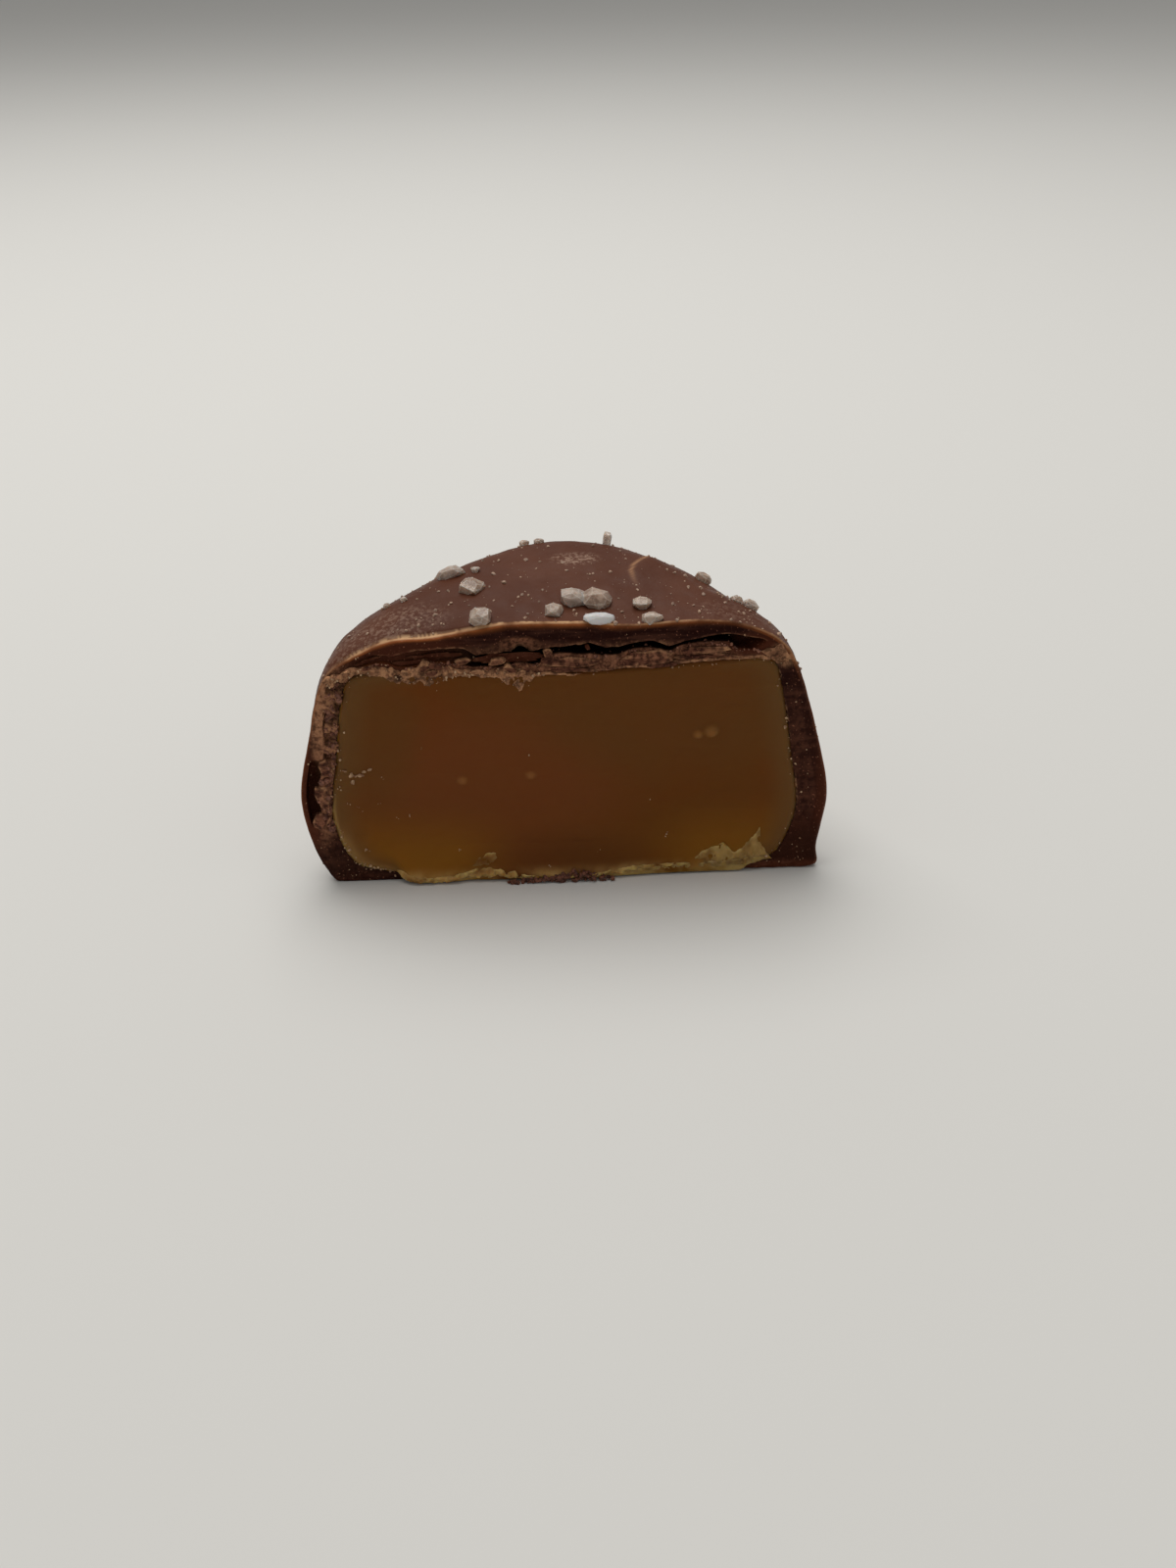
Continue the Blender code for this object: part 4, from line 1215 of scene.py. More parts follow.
# %% Broken flakes
# (x, z, length, height, forward, tilt in degrees, how tan)
FLAKE_TABLE = ((0.15, 18.9, 4.5, 0.90, 0.12, -3, 0.2), (0.2, 18.3, 3.8, 0.34, 0.20, -4, 0.35),
               (5.6, 19.05, 4.2, 1.20, 0.14, 3, 0.12), (6.9, 18.45, 2.6, 0.32, 0.22, 4, 0.40),
               (4.3, 18.75, 1.6, 0.45, 0.22, -6, 0.20), (10.2, 19.55, 4.0, 0.60, 0.10, 2, 0.6),
               (11.6, 19.18, 2.8, 0.22, 0.16, -12, 0.35), (9.2, 19.05, 2.9, 0.30, 0.12, 2, 0.20),
               (-1.75, 19.55, 0.75, 1.0, 0.02, 15, 0.25), (-5.7, 19.1, 1.3, 0.5, 0.14, 8, 0.25),
               (-3.5, 18.6, 0.9, 0.5, 0.34, -40, 0.55), (-8.3, 19.15, 1.2, 0.42, 0.05, 10, 0.1),
               (-12.2, 19.05, 4.2, 0.45, -0.30, 4, 0.0), (-15.6, 19.3, 2.6, 0.35, -0.25, 22, 0.1),
               (-19.8, 7.75, 1.2, 2.1, 0.16, 8, 0.25), (-20.05, 5.75, 1.15, 1.6, 0.10, -25, 0.05),
               (-19.4, 10.4, 1.2, 1.7, 0.18, 10, 0.3), (1.2, 20.0, 0.35, 0.5, -0.1, 20, 0.3),
               (-4.6, 19.25, 5.6, 0.85, -0.35, 2, 0.0), (-10.5, 19.5, 4.0, 0.5, -0.45, 3, 0.0),
               (-11.2, 18.75, 0.9, 0.45, 0.30, 20, 0.8), (-10.4, 18.90, 1.1, 0.40, 0.36, -15, 0.7),
               (-9.7, 18.60, 0.9, 0.40, 0.30, 35, 0.8), (-10.7, 18.40, 1.0, 0.40, 0.34, 5, 0.6),
               (-4.7, 18.50, 1.1, 0.50, 0.34, -35, 0.8), (-3.9, 18.20, 0.9, 0.40, 0.36, 30, 0.7),
               (-12.7, 18.40, 0.8, 0.40, 0.30, -10, 0.7), (-15.6, 18.85, 0.9, 0.35, 0.30, 10, 0.6),
               (-7.2, 18.35, 1.2, 0.30, 0.30, 0, 0.6), (-17.2, 18.5, 0.8, 0.35, 0.28, 30, 0.6))
FLAKE_TURNS, FLAKE_ROWS = 72, 9
FLAKE_SEED = 60
# How deep the rows behind a flake's outline lie, and their share of its reach.
FLAKE_BACK = ((0.35, 0.97), (0.55, 0.7), (0.60, 0.0))


def flake(skin, index, x, z, length, height, forward, tilt, tan):
    """One ragged flake, its face towards the knife and its back inside the coat."""
    draw = np.random.default_rng(index + FLAKE_SEED)
    corners = int(7 + length * 2.2)
    uneven = draw.uniform(-0.4, 0.4, corners + 1) * 2.0 / corners
    angle = np.linspace(0.0, 2.0 * math.pi, corners + 1) + uneven
    reach = draw.uniform(0.72, 1.16, corners + 1)
    cosine, sine = np.cos(angle), np.sin(angle)
    wide = np.sign(cosine) * np.abs(cosine) ** 0.7 * length / 2 * reach
    high = np.sign(sine) * np.abs(sine) ** 0.8 * height / 2 * reach
    wide[-1], high[-1] = wide[0], high[0]
    along_edge = np.linspace(0.0, corners, FLAKE_TURNS + 1)
    wide = np.interp(along_edge, range(corners + 1), wide)
    high = np.interp(along_edge, range(corners + 1), high)
    lean = math.radians(tilt)
    spread_x = wide * math.cos(lean) - high * math.sin(lean)
    spread_z = wide * math.sin(lean) + high * math.cos(lean)
    back_depths, back_shares = np.array(FLAKE_BACK).T
    shares = np.concatenate([np.linspace(0.0, 1.0, FLAKE_ROWS), back_shares])[:, None]
    flat = np.zeros_like(shares) * spread_x
    points = np.stack([x + spread_x * shares, flat, z + spread_z * shares], -1)
    layered = (2.2, 1.0, 0.30) if length > height else (0.5, 0.5, 0.45)
    layers = rough(points, layered, index * 1.7)
    front = -forward - 0.05 * (1.0 - shares ** 4) - 0.07 * layers * (1.0 - 0.6 * shares ** 3)
    depths = back_depths[:, None] * np.ones_like(spread_x)
    points[..., 1] = np.concatenate([front[:FLAKE_ROWS], depths])
    # A pale rim round each flake: partly its broken layers, partly a painted highlight.
    edge = smooth((shares - 0.72) / 0.22)
    pale = np.clip(0.25 + 0.9 * layers, 0.0, 1.0)
    # Flakes that stand forward keep their pale crumb and tan; those set back get painted shade, mostly dark
    # red.
    lit = 1.0 if forward > 0.0 else 0.2
    skin.grid(points, crumb=lit * (0.45 + 0.5 * pale), red=1.0 - lit,
              tan=lit * (tan * pale + 0.5 * edge * smooth(0.5 + layers)))


flake_skin = Skin()
for number, row in enumerate(FLAKE_TABLE):
    flake(flake_skin, number, *row)
settle(flake_skin.build("broken_flakes", (CUT,)), ())

# %% [markdown]
# The knife also dragged soft stuff along. Over the caramel's upper edge lies a ragged band of
# chocolate and caramel mixed into a tan crumb; along the foot the caramel is smeared to a pale
# skin that ends in two thin peaks. They are strips that lie on the face, thick in the middle and
# drawn out to nothing at the ends, each listed as a line of places with a half width.

# %% Dragged edge and smear
# Each strip's line, as (x, z, half width). On the upper edge: the dragged crumb, a thin line on
# to the right, and the crumbled corner. At the foot: the smear, a flap on it, the film with its two
# peaks, a band that fills the film's foot, and a curl at the film's left end.
DRAGGED = ((-19.1, 17.75, 0.30), (-18.7, 17.8, 0.45), (-17.8, 18.07, 0.38), (-17.0, 18.45, 0.38),
           (-16.2, 18.6, 0.37), (-15.5, 18.65, 0.41), (-14.6, 18.5, 0.45), (-13.7, 18.2, 0.58),
           (-13.0, 17.96, 0.55), (-12.2, 18.14, 0.65), (-11.2, 18.19, 0.95), (-10.3, 18.12, 0.9),
           (-9.5, 18.3, 0.53), (-8.6, 18.2, 0.30), (-7.8, 18.2, 0.33), (-6.6, 18.15, 0.33),
           (-5.7, 18.1, 0.41), (-4.9, 17.96, 0.75), (-4.2, 17.69, 0.90), (-3.4, 17.84, 0.58),
           (-2.8, 17.94, 0.18), (-1.8, 18.0, 0.12), (-0.3, 17.88, 0.09), (0.8, 17.9, 0.05))
LOW_LINE = ((0.8, 18.05, 0.04), (2.1, 18.15, 0.09), (4.2, 18.40, 0.15), (6.3, 18.4, 0.16),
            (8.0, 18.66, 0.16), (9.8, 18.75, 0.12), (12.1, 18.84, 0.12), (14.3, 18.9, 0.13),
            (15.3, 18.7, 0.28))
CORNER = ((14.4, 19.35, 0.12), (15.3, 19.24, 0.45), (16.1, 19.15, 0.62), (16.7, 18.9, 0.5))
SMEAR = ((-14.6, 1.05, 0.2), (-13.9, 0.75, 0.37), (-13.3, 0.55, 0.42), (-12.4, 0.42, 0.34),
         (-11.3, 0.40, 0.30), (-10.1, 0.46, 0.30), (-8.9, 0.58, 0.34), (-7.7, 0.80, 0.50),
         (-6.6, 0.82, 0.50), (-5.4, 0.62, 0.36), (-3.8, 0.40, 0.20), (-2.2, 0.30, 0.14),
         (1.0, 0.45, 0.10), (2.1, 0.55, 0.16), (3.4, 0.58, 0.26), (4.6, 0.68, 0.30),
         (5.4, 0.80, 0.22), (6.6, 0.90, 0.14), (8.2, 0.92, 0.14), (9.4, 1.0, 0.1))
FLAP = ((-8.3, 1.4, 0.15), (-7.7, 1.72, 0.42), (-7.1, 1.92, 0.5), (-6.4, 2.15, 0.5), (-6.0, 2.1, 0.2))
FILM = ((7.8, 0.80, 0.1), (8.6, 0.88, 0.20), (9.6, 1.10, 0.44), (10.4, 1.36, 0.74), (11.2, 1.55, 0.97),
        (11.9, 1.60, 1.00), (12.3, 1.42, 0.80), (12.85, 1.24, 0.62), (13.4, 1.40, 0.78),
        (13.9, 1.68, 1.05), (14.3, 1.96, 1.32), (14.55, 2.12, 1.46), (14.78, 2.40, 1.66),
        (14.9, 2.55, 1.68), (15.0, 1.80, 0.90), (15.25, 1.50, 0.62), (15.55, 1.2, 0.32),
        (16.0, 0.98, 0.08))
BAND = ((3.5, 0.55, 0.10), (6.0, 0.62, 0.16), (9.0, 0.72, 0.22), (11.5, 0.82, 0.30), (13.6, 0.92, 0.34),
        (14.8, 1.05, 0.30), (15.6, 1.15, 0.12))
CURL = ((11.55, 2.55, 0.03), (11.9, 2.62, 0.12), (12.3, 2.25, 0.12), (12.75, 1.85, 0.05))
STRIP_ROWS = 13
# The face stands a little before the cut, and the lip has run out into it at this (forward, height).
FACE_FORWARD, LIP_ENDS = -0.05, (0.0, 4.0)


def face_depth(x, z):
    """Depth of the cut face at (x, z), with the caramel's lip near the foot."""
    forward, heights = zip(*LIP[2:], LIP_ENDS)
    return FACE_FORWARD - lip_weight(x) * np.interp(z, heights, forward) * lip_swing(x, z)


def strip(skin, stations, thick, seed, steps_per_mm=7.0, ragged=0.30, fine=0.5, rim=0.0, **paint):
    """A ragged strip on the face, drawn to a point at both ends and paler along its rim, a painted
    highlight.
    """
    places = np.array(stations)
    first, last = places[0, 0], places[-1, 0]
    x = np.linspace(first, last, max(int((last - first) * steps_per_mm), 12))[:, None]
    across = np.linspace(-1.0, 1.0, STRIP_ROWS)[None, :]
    line = np.stack([x[:, 0], np.full(len(x), seed), x[:, 0] * 0.0], -1)
    upper = 1.0 + ragged * rough(line, 0.55, seed)
    lower = 1.0 + ragged * rough(line, 0.45, seed + 4.0)
    ends = np.sqrt(smooth((x - first) / 0.7) * smooth((last - x) / 0.7))
    half = along(places[:, [0, 2]], x) * ends * np.where(across > 0, upper[:, None], lower[:, None])
    z = along(places[:, [0, 1]], x) + across * half
    x = np.broadcast_to(x, z.shape)
    z = np.maximum(z, 0.03)
    base = face_depth(x, z)
    place = np.stack([x, base, z], -1)
    bumps = 0.62 + fine * rough(place, 0.36, seed + 1.0, 3)
    rise = thick * np.sqrt(np.maximum(1.0 - across ** 4, 0.0)) * np.clip(bumps, 0.12, 1.5) * ends
    front, back = place.copy(), place.copy()
    front[..., 1] = base + 0.05 * ends - rise
    back[..., 1] = base + (0.05 + 0.12 * (1.0 - across ** 2)) * ends
    worn = np.clip(0.75 + 0.7 * rough(place, 0.8, seed + 2.0), 0.0, 1.0)
    # A painted highlight along the rim, where the thin caramel curls.
    bright = 1.0 + rim * (smooth((np.abs(across) - 0.55) / 0.35) - 0.4)
    painted = {name: np.clip(amount * worn * bright, 0.0, 1.0) for name, amount in paint.items()}
    skin.grid(front, **painted)
    skin.grid(back[:, ::-1], **{name: values[:, ::-1] for name, values in painted.items()})


drag_skin = Skin()
strip(drag_skin, DRAGGED, 0.22, 1.0, steps_per_mm=14.0, fine=1.1, ragged=0.46, tan=0.72, crumb=1.0)
strip(drag_skin, LOW_LINE, 0.10, 2.0, tan=0.60, crumb=1.0)
strip(drag_skin, CORNER, 0.28, 3.0, ragged=0.5, tan=0.60, crumb=1.0)
settle(drag_skin.build("dragged_edge", (CUT,)), ())

smear_skin = Skin()
strip(smear_skin, SMEAR, 0.27, 5.0, steps_per_mm=12.0, ragged=0.42, fine=0.6, rim=0.3, smear=0.84)
strip(smear_skin, FLAP, 0.16, 6.0, ragged=0.5, rim=1.0, smear=0.55)
strip(smear_skin, FILM, 0.16, 7.0, steps_per_mm=20.0, ragged=0.04, fine=0.5, rim=0.5, smear=0.74)
strip(smear_skin, BAND, 0.20, 9.0, steps_per_mm=10.0, ragged=0.25, rim=0.4, smear=0.70)
strip(smear_skin, CURL, 0.42, 8.0, steps_per_mm=14.0, ragged=0.10, smear=1.0)
settle(smear_skin.build("caramel_smear", (CARAMEL,)), ())

# %% [markdown]
# Salt, dust and crumbs are all sprinkled things, so one Geometry Nodes tree makes them all. Its
# shapes are small hulls round a jittered ball, squarer for salt and rounder for crumbs. One point
# a grain carries a size and a rotation; the tree sets a shape on each point, makes the copies
# real, roughens every one differently and gives them their finish.

# %% Scattering with Geometry Nodes
GRAIN_RADIUS = 0.5


def grain_shapes(name, count, boxy, uneven, seed):
    """Small convex grains for the tree to pick from, round at boxy 0 and square at boxy 1."""
    draw = np.random.default_rng(seed)
    shapes = bpy.data.collections.new(name)
    for index in range(count):
        ball, work = bmesh.new(), bmesh.new()
        bmesh.ops.create_icosphere(ball, subdivisions=2, radius=GRAIN_RADIUS)
        for vertex in ball.verts:
            longest = max(abs(part) for part in vertex.co)
            squared = (GRAIN_RADIUS / longest) ** boxy
            work.verts.new(vertex.co * squared * draw.uniform(1 - uneven, 1 + uneven))
        hull = bmesh.ops.convex_hull(work, input=work.verts)
        inner = {part for part in hull["geom_interior"] if isinstance(part, bmesh.types.BMVert)}
        bmesh.ops.delete(work, geom=list(inner), context="VERTS")
        mesh = bpy.data.meshes.new(f"{name}_{index}")
        work.to_mesh(mesh)
        ball.free()
        work.free()
        shapes.objects.link(bpy.data.objects.new(mesh.name, mesh))
    return shapes


def of_type(sockets, kind):
    """The sockets of one type, because some nodes have several under one name."""
    return [socket for socket in sockets if socket.type == kind]


def scatter_tree():
    """The node tree that sets, picks, turns, scales and roughens grains, and its input sockets."""
    tree = bpy.data.node_groups.new("scatter_grains", "GeometryNodeTree")
    tree.interface.new_socket("Geometry", in_out="OUTPUT", socket_type="NodeSocketGeometry")
    inputs = (("Points", "Geometry"), ("Shapes", "Collection"), ("Finish", "Material"),
              ("Last Shape", "Int"), ("Seed", "Int"), ("Lumps Per Metre", "Float"), ("Unevenness", "Float"))
    names = {}
    for name, kind in inputs:
        socket = tree.interface.new_socket(name, in_out="INPUT", socket_type="NodeSocket" + kind)
        names[name] = socket.identifier
    given = tree.nodes.new("NodeGroupInput").outputs
    result = tree.nodes.new("NodeGroupOutput").inputs[0]
    shapes = add(tree, "GeometryNodeCollectionInfo")
    shapes.inputs["Separate Children"].default_value = True
    pick = add(tree, "FunctionNodeRandomValue", data_type="INT")
    turned = add(tree, "GeometryNodeInputNamedAttribute", data_type="FLOAT_VECTOR", Name="turned")
    sized = add(tree, "GeometryNodeInputNamedAttribute", data_type="FLOAT_VECTOR", Name="sized")
    setter = add(tree, "GeometryNodeInstanceOnPoints")
    setter.inputs["Pick Instance"].default_value = True
    real = add(tree, "GeometryNodeRealizeInstances")
    lumpy = add(tree, "ShaderNodeTexNoise", Detail=1.0)
    # Noise lies about 0.5, so half is taken off before it pushes the points both ways.
    centred = add(tree, "ShaderNodeVectorMath", operation="SUBTRACT")
    centred.inputs[1].default_value = (0.5, 0.5, 0.5)
    scaled = add(tree, "ShaderNodeVectorMath", operation="SCALE")
    shift = add(tree, "GeometryNodeSetPosition")
    coat_it = add(tree, "GeometryNodeSetMaterial")
    link = tree.links.new
    link(given["Shapes"], shapes.inputs["Collection"])
    link(given["Last Shape"], of_type(pick.inputs, "INT")[1])
    link(given["Seed"], pick.inputs["Seed"])
    link(given["Points"], setter.inputs["Points"])
    link(shapes.outputs[0], setter.inputs["Instance"])
    link(of_type(pick.outputs, "INT")[0], setter.inputs["Instance Index"])
    link(of_type(turned.outputs, "VECTOR")[0], setter.inputs["Rotation"])
    link(of_type(sized.outputs, "VECTOR")[0], setter.inputs["Scale"])
    link(setter.outputs[0], real.inputs[0])
    link(given["Lumps Per Metre"], lumpy.inputs["Scale"])
    link(lumpy.outputs["Color"], centred.inputs[0])
    link(centred.outputs[0], scaled.inputs[0])
    link(given["Unevenness"], scaled.inputs["Scale"])
    link(real.outputs[0], shift.inputs["Geometry"])
    link(scaled.outputs[0], shift.inputs["Offset"])
    link(shift.outputs[0], coat_it.inputs["Geometry"])
    link(given["Finish"], coat_it.inputs["Material"])
    link(coat_it.outputs[0], result)
    return tree, names


SCATTER, SCATTER_INPUTS = scatter_tree()


def scatter(name, grains, shapes, finish, seed, lump_mm, uneven_mm, white=None):
    """Grains as (place, euler turn, size in mm), made into one plain mesh by the node tree."""
    places, turns, sizes = (np.array(part, float) for part in zip(*grains))
    mesh = bpy.data.meshes.new(name)
    mesh.from_pydata(((places + (CENTRE_X, CUT_Y, 0.0)) * MM).tolist(), [], [])
    for key, values in (("turned", turns), ("sized", sizes * MM)):
        mesh.attributes.new(key, "FLOAT_VECTOR", "POINT").data.foreach_set("vector", values.ravel())
    if white:
        mesh.attributes.new("white", "FLOAT", "POINT").data.foreach_set("value", white)
    made = bpy.data.objects.new(name, mesh)
    bpy.context.scene.collection.objects.link(made)
    modifier = made.modifiers.new("grains", "NODES")
    modifier.node_group = SCATTER
    given = {"Shapes": shapes, "Finish": finish, "Last Shape": len(shapes.objects) - 1, "Seed": seed,
             "Lumps Per Metre": 1.0 / (lump_mm * MM), "Unevenness": uneven_mm * MM}
    for key, value in given.items():
        modifier[SCATTER_INPUTS[key]] = value
    plain = bpy.data.meshes.new_from_object(made.evaluated_get(bpy.context.evaluated_depsgraph_get()))
    made.modifiers.clear()
    made.data = plain
    plain.materials.clear()
    plain.materials.append(finish)
    plain.shade_flat()
    settle(made, ())


print("scatter tree:", len(SCATTER.nodes), "nodes")

# %% [markdown]
# The coarse salt stands where the construction has it. Each crystal that shows has a turn, a
# level, a size and a spin of its own, and a few more lie on the walls behind, drawn one by one and
# kept only if they lie clear of the others. Each is sunk into the coat, as if it fell on it wet.

# %% Salt crystals
# The crystals that show: (turn in degrees, level, length, width, height, spin).
SALT = ((145, 8.05, 1.90, 1.70, 1.05, 10), (172, 8.65, 1.60, 1.50, 1.20, 5),
        (84, 9.35, 1.90, 1.80, 1.30, 15), (57, 9.20, 2.20, 1.90, 1.35, 40),
        (127, 9.55, 1.50, 1.20, 0.90, 25), (14, 9.52, 2.20, 1.05, 0.80, 74),
        (25, 8.65, 1.40, 1.10, 0.80, 63), (6, 8.70, 1.60, 1.00, 0.80, 84),
        (139, 7.15, 2.10, 1.20, 1.05, -50), (104, 6.95, 0.80, 0.60, 0.60, 10),
        (99, 7.00, 0.80, 0.60, 0.50, 0), (76, 7.00, 0.65, 0.55, 1.60, 0),
        (39, 6.55, 1.30, 0.90, 0.95, 52), (23, 6.45, 0.90, 0.75, 0.70, 66),
        (19, 6.35, 1.25, 0.95, 0.95, 71), (159, 6.60, 0.65, 0.55, 0.50, 20),
        (158, 6.90, 0.60, 0.50, 0.45, 50), (132, 7.55, 0.65, 0.55, 0.45, 0))
SALT_SINK = 0.34
MIDDLE_OF_COAT = (0.0, 6.0, 9.0)
SALT_SEED, SALT_ON_WALLS, SALT_APART = 41, 26, 1.6
WALL_TURNS, WALL_LEVELS, WALL_SIZES = (25.0, 155.0), ((1.7, 2.6), (2.6, 5.4)), (0.8, 1.6)
TILT, WALL_TILT = 0.25, 0.2
# Whiteness goes round in steps from none to this, and the flat crystal at the lip is all white.
WHITENESS, WHITE_STEPS, WHITE_CRYSTAL = 0.16, 3, 5


def surface_frame(turn, level):
    """Place on the coat, and axes along the turn, up the wall and outward."""
    step = 0.01
    here = coat_point(turn, level)
    side = coat_point(turn + step, level) - coat_point(turn - step, level)
    rise = coat_point(turn, level + step) - coat_point(turn, level - step)
    out = np.cross(rise, side)
    out, side = out / np.linalg.norm(out), side / np.linalg.norm(side)
    if out @ (here - MIDDLE_OF_COAT) < 0:
        out = -out
    return here, side, np.cross(out, side), out


def crystal_grain(turn, level, length, width, height, spin, tilt):
    """Place, turn and size of a crystal that lies on the coat."""
    here, side, up, out = surface_frame(turn, level)
    axes = Matrix((side, up, out)).transposed()
    turned = (axes @ Matrix.Rotation(spin, 3, "Z") @ Matrix.Rotation(tilt, 3, "X")).to_euler()
    return here + out * height * (0.5 - SALT_SINK), tuple(turned), (length, width, height)


def salt_grains():
    """The crystals that show, and then those that are drawn for the walls."""
    rng = random.Random(SALT_SEED)
    grains = []
    for turn, level, *size, spin in SALT:
        tilt = TILT * math.sin(3.0 * spin)
        grains.append(crystal_grain(math.radians(turn), level, *size, math.radians(spin), tilt))
    while len(grains) < len(SALT) + SALT_ON_WALLS:
        turn = math.radians(rng.uniform(*WALL_TURNS))
        level = rng.choice([rng.uniform(*span) for span in WALL_LEVELS])
        size = rng.uniform(*WALL_SIZES)
        here = coat_point(turn, level)
        if all(np.linalg.norm(here - other[0]) > SALT_APART for other in grains):
            shape = (size, size * rng.uniform(0.6, 0.95), size * rng.uniform(0.45, 0.8))
            grains.append(crystal_grain(turn, level, *shape, rng.uniform(0.0, math.pi), WALL_TILT))
    return grains


CRYSTAL_SHAPES = grain_shapes("crystal", count=8, boxy=0.62, uneven=0.20, seed=3)
crystals = salt_grains()
whiteness = [WHITENESS * (index % WHITE_STEPS) / (WHITE_STEPS - 1) for index in range(len(crystals))]
whiteness[WHITE_CRYSTAL] = 1.0
scatter("salt_crystals", crystals, CRYSTAL_SHAPES, SALT_FINISH, seed=5, lump_mm=0.7, uneven_mm=0.26,
        white=whiteness)

# %% [markdown]
# Much finer salt, dust and splinters of chocolate are sprinkled over the coat, the cut face and
# the foot. They need no more than a place on a grid that is already there: a random row and
# column give a point, and a random turn and size do the rest.

# %% Dust, specks and crumbs
CRUMB_SHAPES = grain_shapes("crumb", count=7, boxy=0.35, uneven=0.38, seed=11)
# Specks seen on the caramel: (x, z, size).
CARAMEL_SPECKS = ((-17.0, 9.5, 0.75), (-16.5, 9.9, 0.60), (-18.1, 10.1, 0.32), (-18.35, 8.5, 0.28),
                  (5.7, 12.1, 0.2), (-3.5, 11.1, 0.25), (-3.4, 9.3, 0.3), (-8.8, 9.0, 0.28),
                  (6.0, 6.8, 0.25), (-16.7, 2.9, 0.35), (-9.5, 2.8, 0.3), (-13.0, 6.1, 0.32),
                  (-14.0, 5.9, 0.25), (-17.9, 7.2, 0.2), (-17.2, 6.9, 0.22), (-16.8, 6.5, 0.18),
                  (-15.4, 7.1, 0.2), (7.3, 3.6, 0.3), (-2.0, 1.3, 0.25), (1.8, 2.4, 0.25),
                  (-11.8, 12.0, 0.2), (-15.0, 9.4, 0.2))
GRAINS_PER_SPECK_MM = 1 / 0.13
DUST_ON_TOP, DUST_ON_CUT, CRUMBS_AT_RIM, FOOT_GRAINS, EDGE_CRUMBS = 700, 130, 700, 230, 120
# Dust lies thickest on the crown: spans of the outside's height, drawn from with equal chance.
DUST_LEVELS = ((0.60, 0.98), (0.55, 0.9), (0.05, 0.7))
# The smallest and largest grain of each kind.
DUST_SIZES, CUT_SIZES, EDGE_SIZES, FOOT_SIZES = (0.06, 0.36), (0.05, 0.18), (0.07, 0.26), (0.14, 0.52)
RIM_SIZES = (0.06, 0.26)
# Most of the crumbs at the low left (x, z) are kept, few elsewhere and none by the lip (|x|, z).
KEPT_LOW_LEFT, KEPT_ELSEWHERE, LOW_LEFT, BY_LIP = 0.95, 0.14, (-12.0, 5.0), (14.0, 3.0)
# Crumbs that cling to the broken chocolate: (how many, (first row, last row), (left, right),
# (low, high), (smallest, largest)).
CLINGING = ((190, (29.0, 45.0), (-20.5, -17.8), (4.5, 17.6), (0.15, 0.50)),
            (120, (27.5, 32.0), (-17.0, 15.0), (18.0, 21.0), (0.10, 0.32)))


def on_grid(points, row, column):
    """The point of a grid at a row and column, in between its points too."""
    row, column = min(row, points.shape[0] - 1.001), min(column, points.shape[1] - 1.001)
    top, left = int(row), int(column)
    down, across = row - top, column - left
    upper = points[top, left] * (1 - across) + points[top, left + 1] * across
    lower = points[top + 1, left] * (1 - across) + points[top + 1, left + 1] * across
    return upper * (1 - down) + lower * down


def loose_grain(rng, place, smallest, largest):
    """A grain at a place, turned at random; small ones are commoner than large ones."""
    size = smallest * (largest / smallest) ** (rng.random() ** 1.9)
    turned = tuple(rng.uniform(0.0, math.tau) for axis in range(3))
    return place, turned, (size, size * rng.uniform(0.6, 1.0), size * rng.uniform(0.5, 0.9))


def dust_grains(rng):
    """Fine salt on the outside of the coat."""
    grains = []
    for index in range(DUST_ON_TOP):
        row = rng.uniform(0.0, TURN_STEPS)
        column = LEVEL_STEPS * rng.choice([rng.uniform(*span) for span in DUST_LEVELS])
        grains.append(loose_grain(rng, on_grid(OUTSIDE, row, column), *DUST_SIZES))
    return grains


def speck_grains(rng):
    """Specks on the caramel, each a small heap of grains."""
    grains = []
    for x, z, size in CARAMEL_SPECKS:
        for part in range(1 + int(size * GRAINS_PER_SPECK_MM)):
            grain_x = x + rng.gauss(0, 0.45 * size)
            place = np.array((grain_x, face_depth(x, z) - 0.02, z + rng.gauss(0, 0.35 * size)))
            grains.append(loose_grain(rng, place, 0.3 * size, 0.75 * size))
    return grains


def face_grains(rng):
    """Specks, and pale grains on the chocolate, at the caramel's rim and along the dragged edge."""
    grains = speck_grains(rng)
    for index in range(DUST_ON_CUT):
        column = rng.uniform(0.0, CUT_RING.shape[1] - 1)
        row = rng.uniform(ROWS["lip"] + 1, CUT_RING.shape[0] - 1)
        grains.append(loose_grain(rng, on_grid(CUT_RING, row, column), *CUT_SIZES))
    for index in range(CRUMBS_AT_RIM):
        column = rng.uniform(0.0, CARAMEL_COLUMNS)
        place = on_grid(CARAMEL_FRONT, rng.uniform(0.0, 2.5), column)
        x, y, z = place
        kept = KEPT_LOW_LEFT if x < LOW_LEFT[0] and z < LOW_LEFT[1] else KEPT_ELSEWHERE
        if rng.random() > kept or (abs(x) < BY_LIP[0] and z < BY_LIP[1]):
            continue
        grains.append(loose_grain(rng, np.array((x, y - 0.09, z)), *RIM_SIZES))
    line = np.array(DRAGGED)
    for index in range(EDGE_CRUMBS):
        x = rng.uniform(line[0, 0] + 0.3, -2.0)
        half = float(along(line[:, [0, 2]], x))
        z = float(along(line[:, [0, 1]], x)) + rng.gauss(0.0, 0.55) * half
        grains.append(loose_grain(rng, np.array((x, -0.16, z)), *EDGE_SIZES))
    return grains


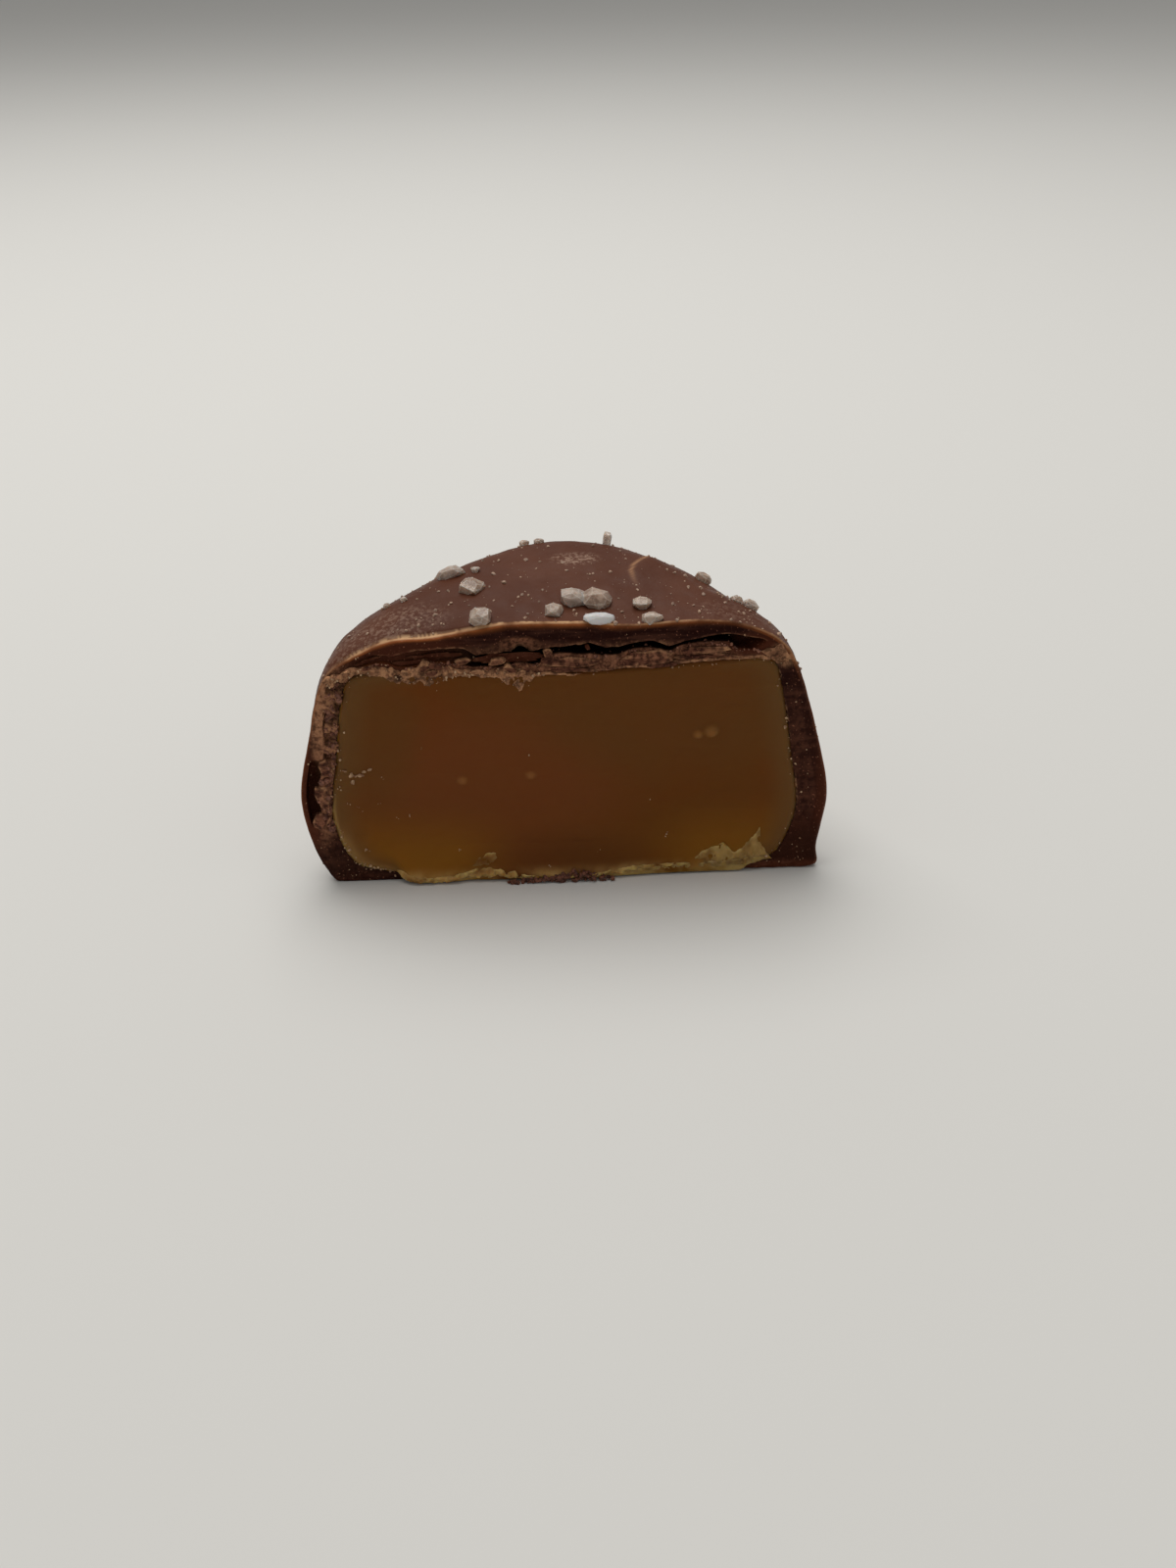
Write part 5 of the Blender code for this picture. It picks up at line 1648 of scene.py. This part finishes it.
def clinging_grains(rng):
    """Crumbs on the ring of the cut, kept within boxes of x and z."""
    grains = []
    for count, rows, across, heights, sizes in CLINGING:
        found = 0
        while found < count:
            place = on_grid(CUT_RING, rng.uniform(*rows), rng.uniform(0.0, CUT_RING.shape[1] - 1))
            if across[0] < place[0] < across[1] and heights[0] < place[2] < heights[1]:
                grains.append(loose_grain(rng, place - (0, 0.04, 0), *sizes))
                found += 1
    return grains


# The heap under the lip: where grains fall, how far they go, and its height, middle and width.
HEAP_FALL, HEAP_ENDS, HEAP_HEIGHT, HEAP_MIDDLE, HEAP_WIDE = (-1.2, 2.3), (-6.4, 3.0), 0.80, 0.2, 2.2


def foot_grains(rng):
    """Dark crumbs that hang together below the middle of the caramel's lip."""
    grains = []
    for index in range(FOOT_GRAINS):
        x = rng.gauss(*HEAP_FALL)
        if not HEAP_ENDS[0] < x < HEAP_ENDS[1]:
            continue
        pile = HEAP_HEIGHT * math.exp(-((x - HEAP_MIDDLE) / HEAP_WIDE) ** 2) + 0.18
        height = rng.uniform(0.12, pile)
        place = np.array((x, -1.0 + rng.uniform(-0.25, 0.2) * (1.2 - height), height))
        grains.append(loose_grain(rng, place, *FOOT_SIZES))
    return grains


print("grains to sprinkle:", DUST_ON_TOP, "of dust and", len(CARAMEL_SPECKS), "specks")

# %% [markdown]
# All grains come from one generator with a fixed seed, and always in this order, so each run
# gives the same candy.

# %% Sprinkle the grains
# Each piece, how its grains are drawn, its finish, seed, unevenness in mm and slot.
SPRINKLED = (("salt_dust", dust_grains, DUST_FINISH, 6, 0.02, "sea_salt"),
             ("face_specks", face_grains, TAN_CRUMB_FINISH, 7, 0.03, "soft_caramel"),
             ("foot_crumbs", foot_grains, FOOT_CRUMB_FINISH, 8, 0.05, "milk_chocolate"),
             ("clinging_crumbs", clinging_grains, CRUMB_FINISH, 9, 0.05, "milk_chocolate"))
LUMP_MM = 0.2
SPECK_SEED = 23
speck_rng = random.Random(SPECK_SEED)
for name, draw_grains, finish, seed, uneven_mm, slot in SPRINKLED:
    scatter(name, draw_grains(speck_rng), CRUMB_SHAPES, finish, seed, LUMP_MM, uneven_mm)
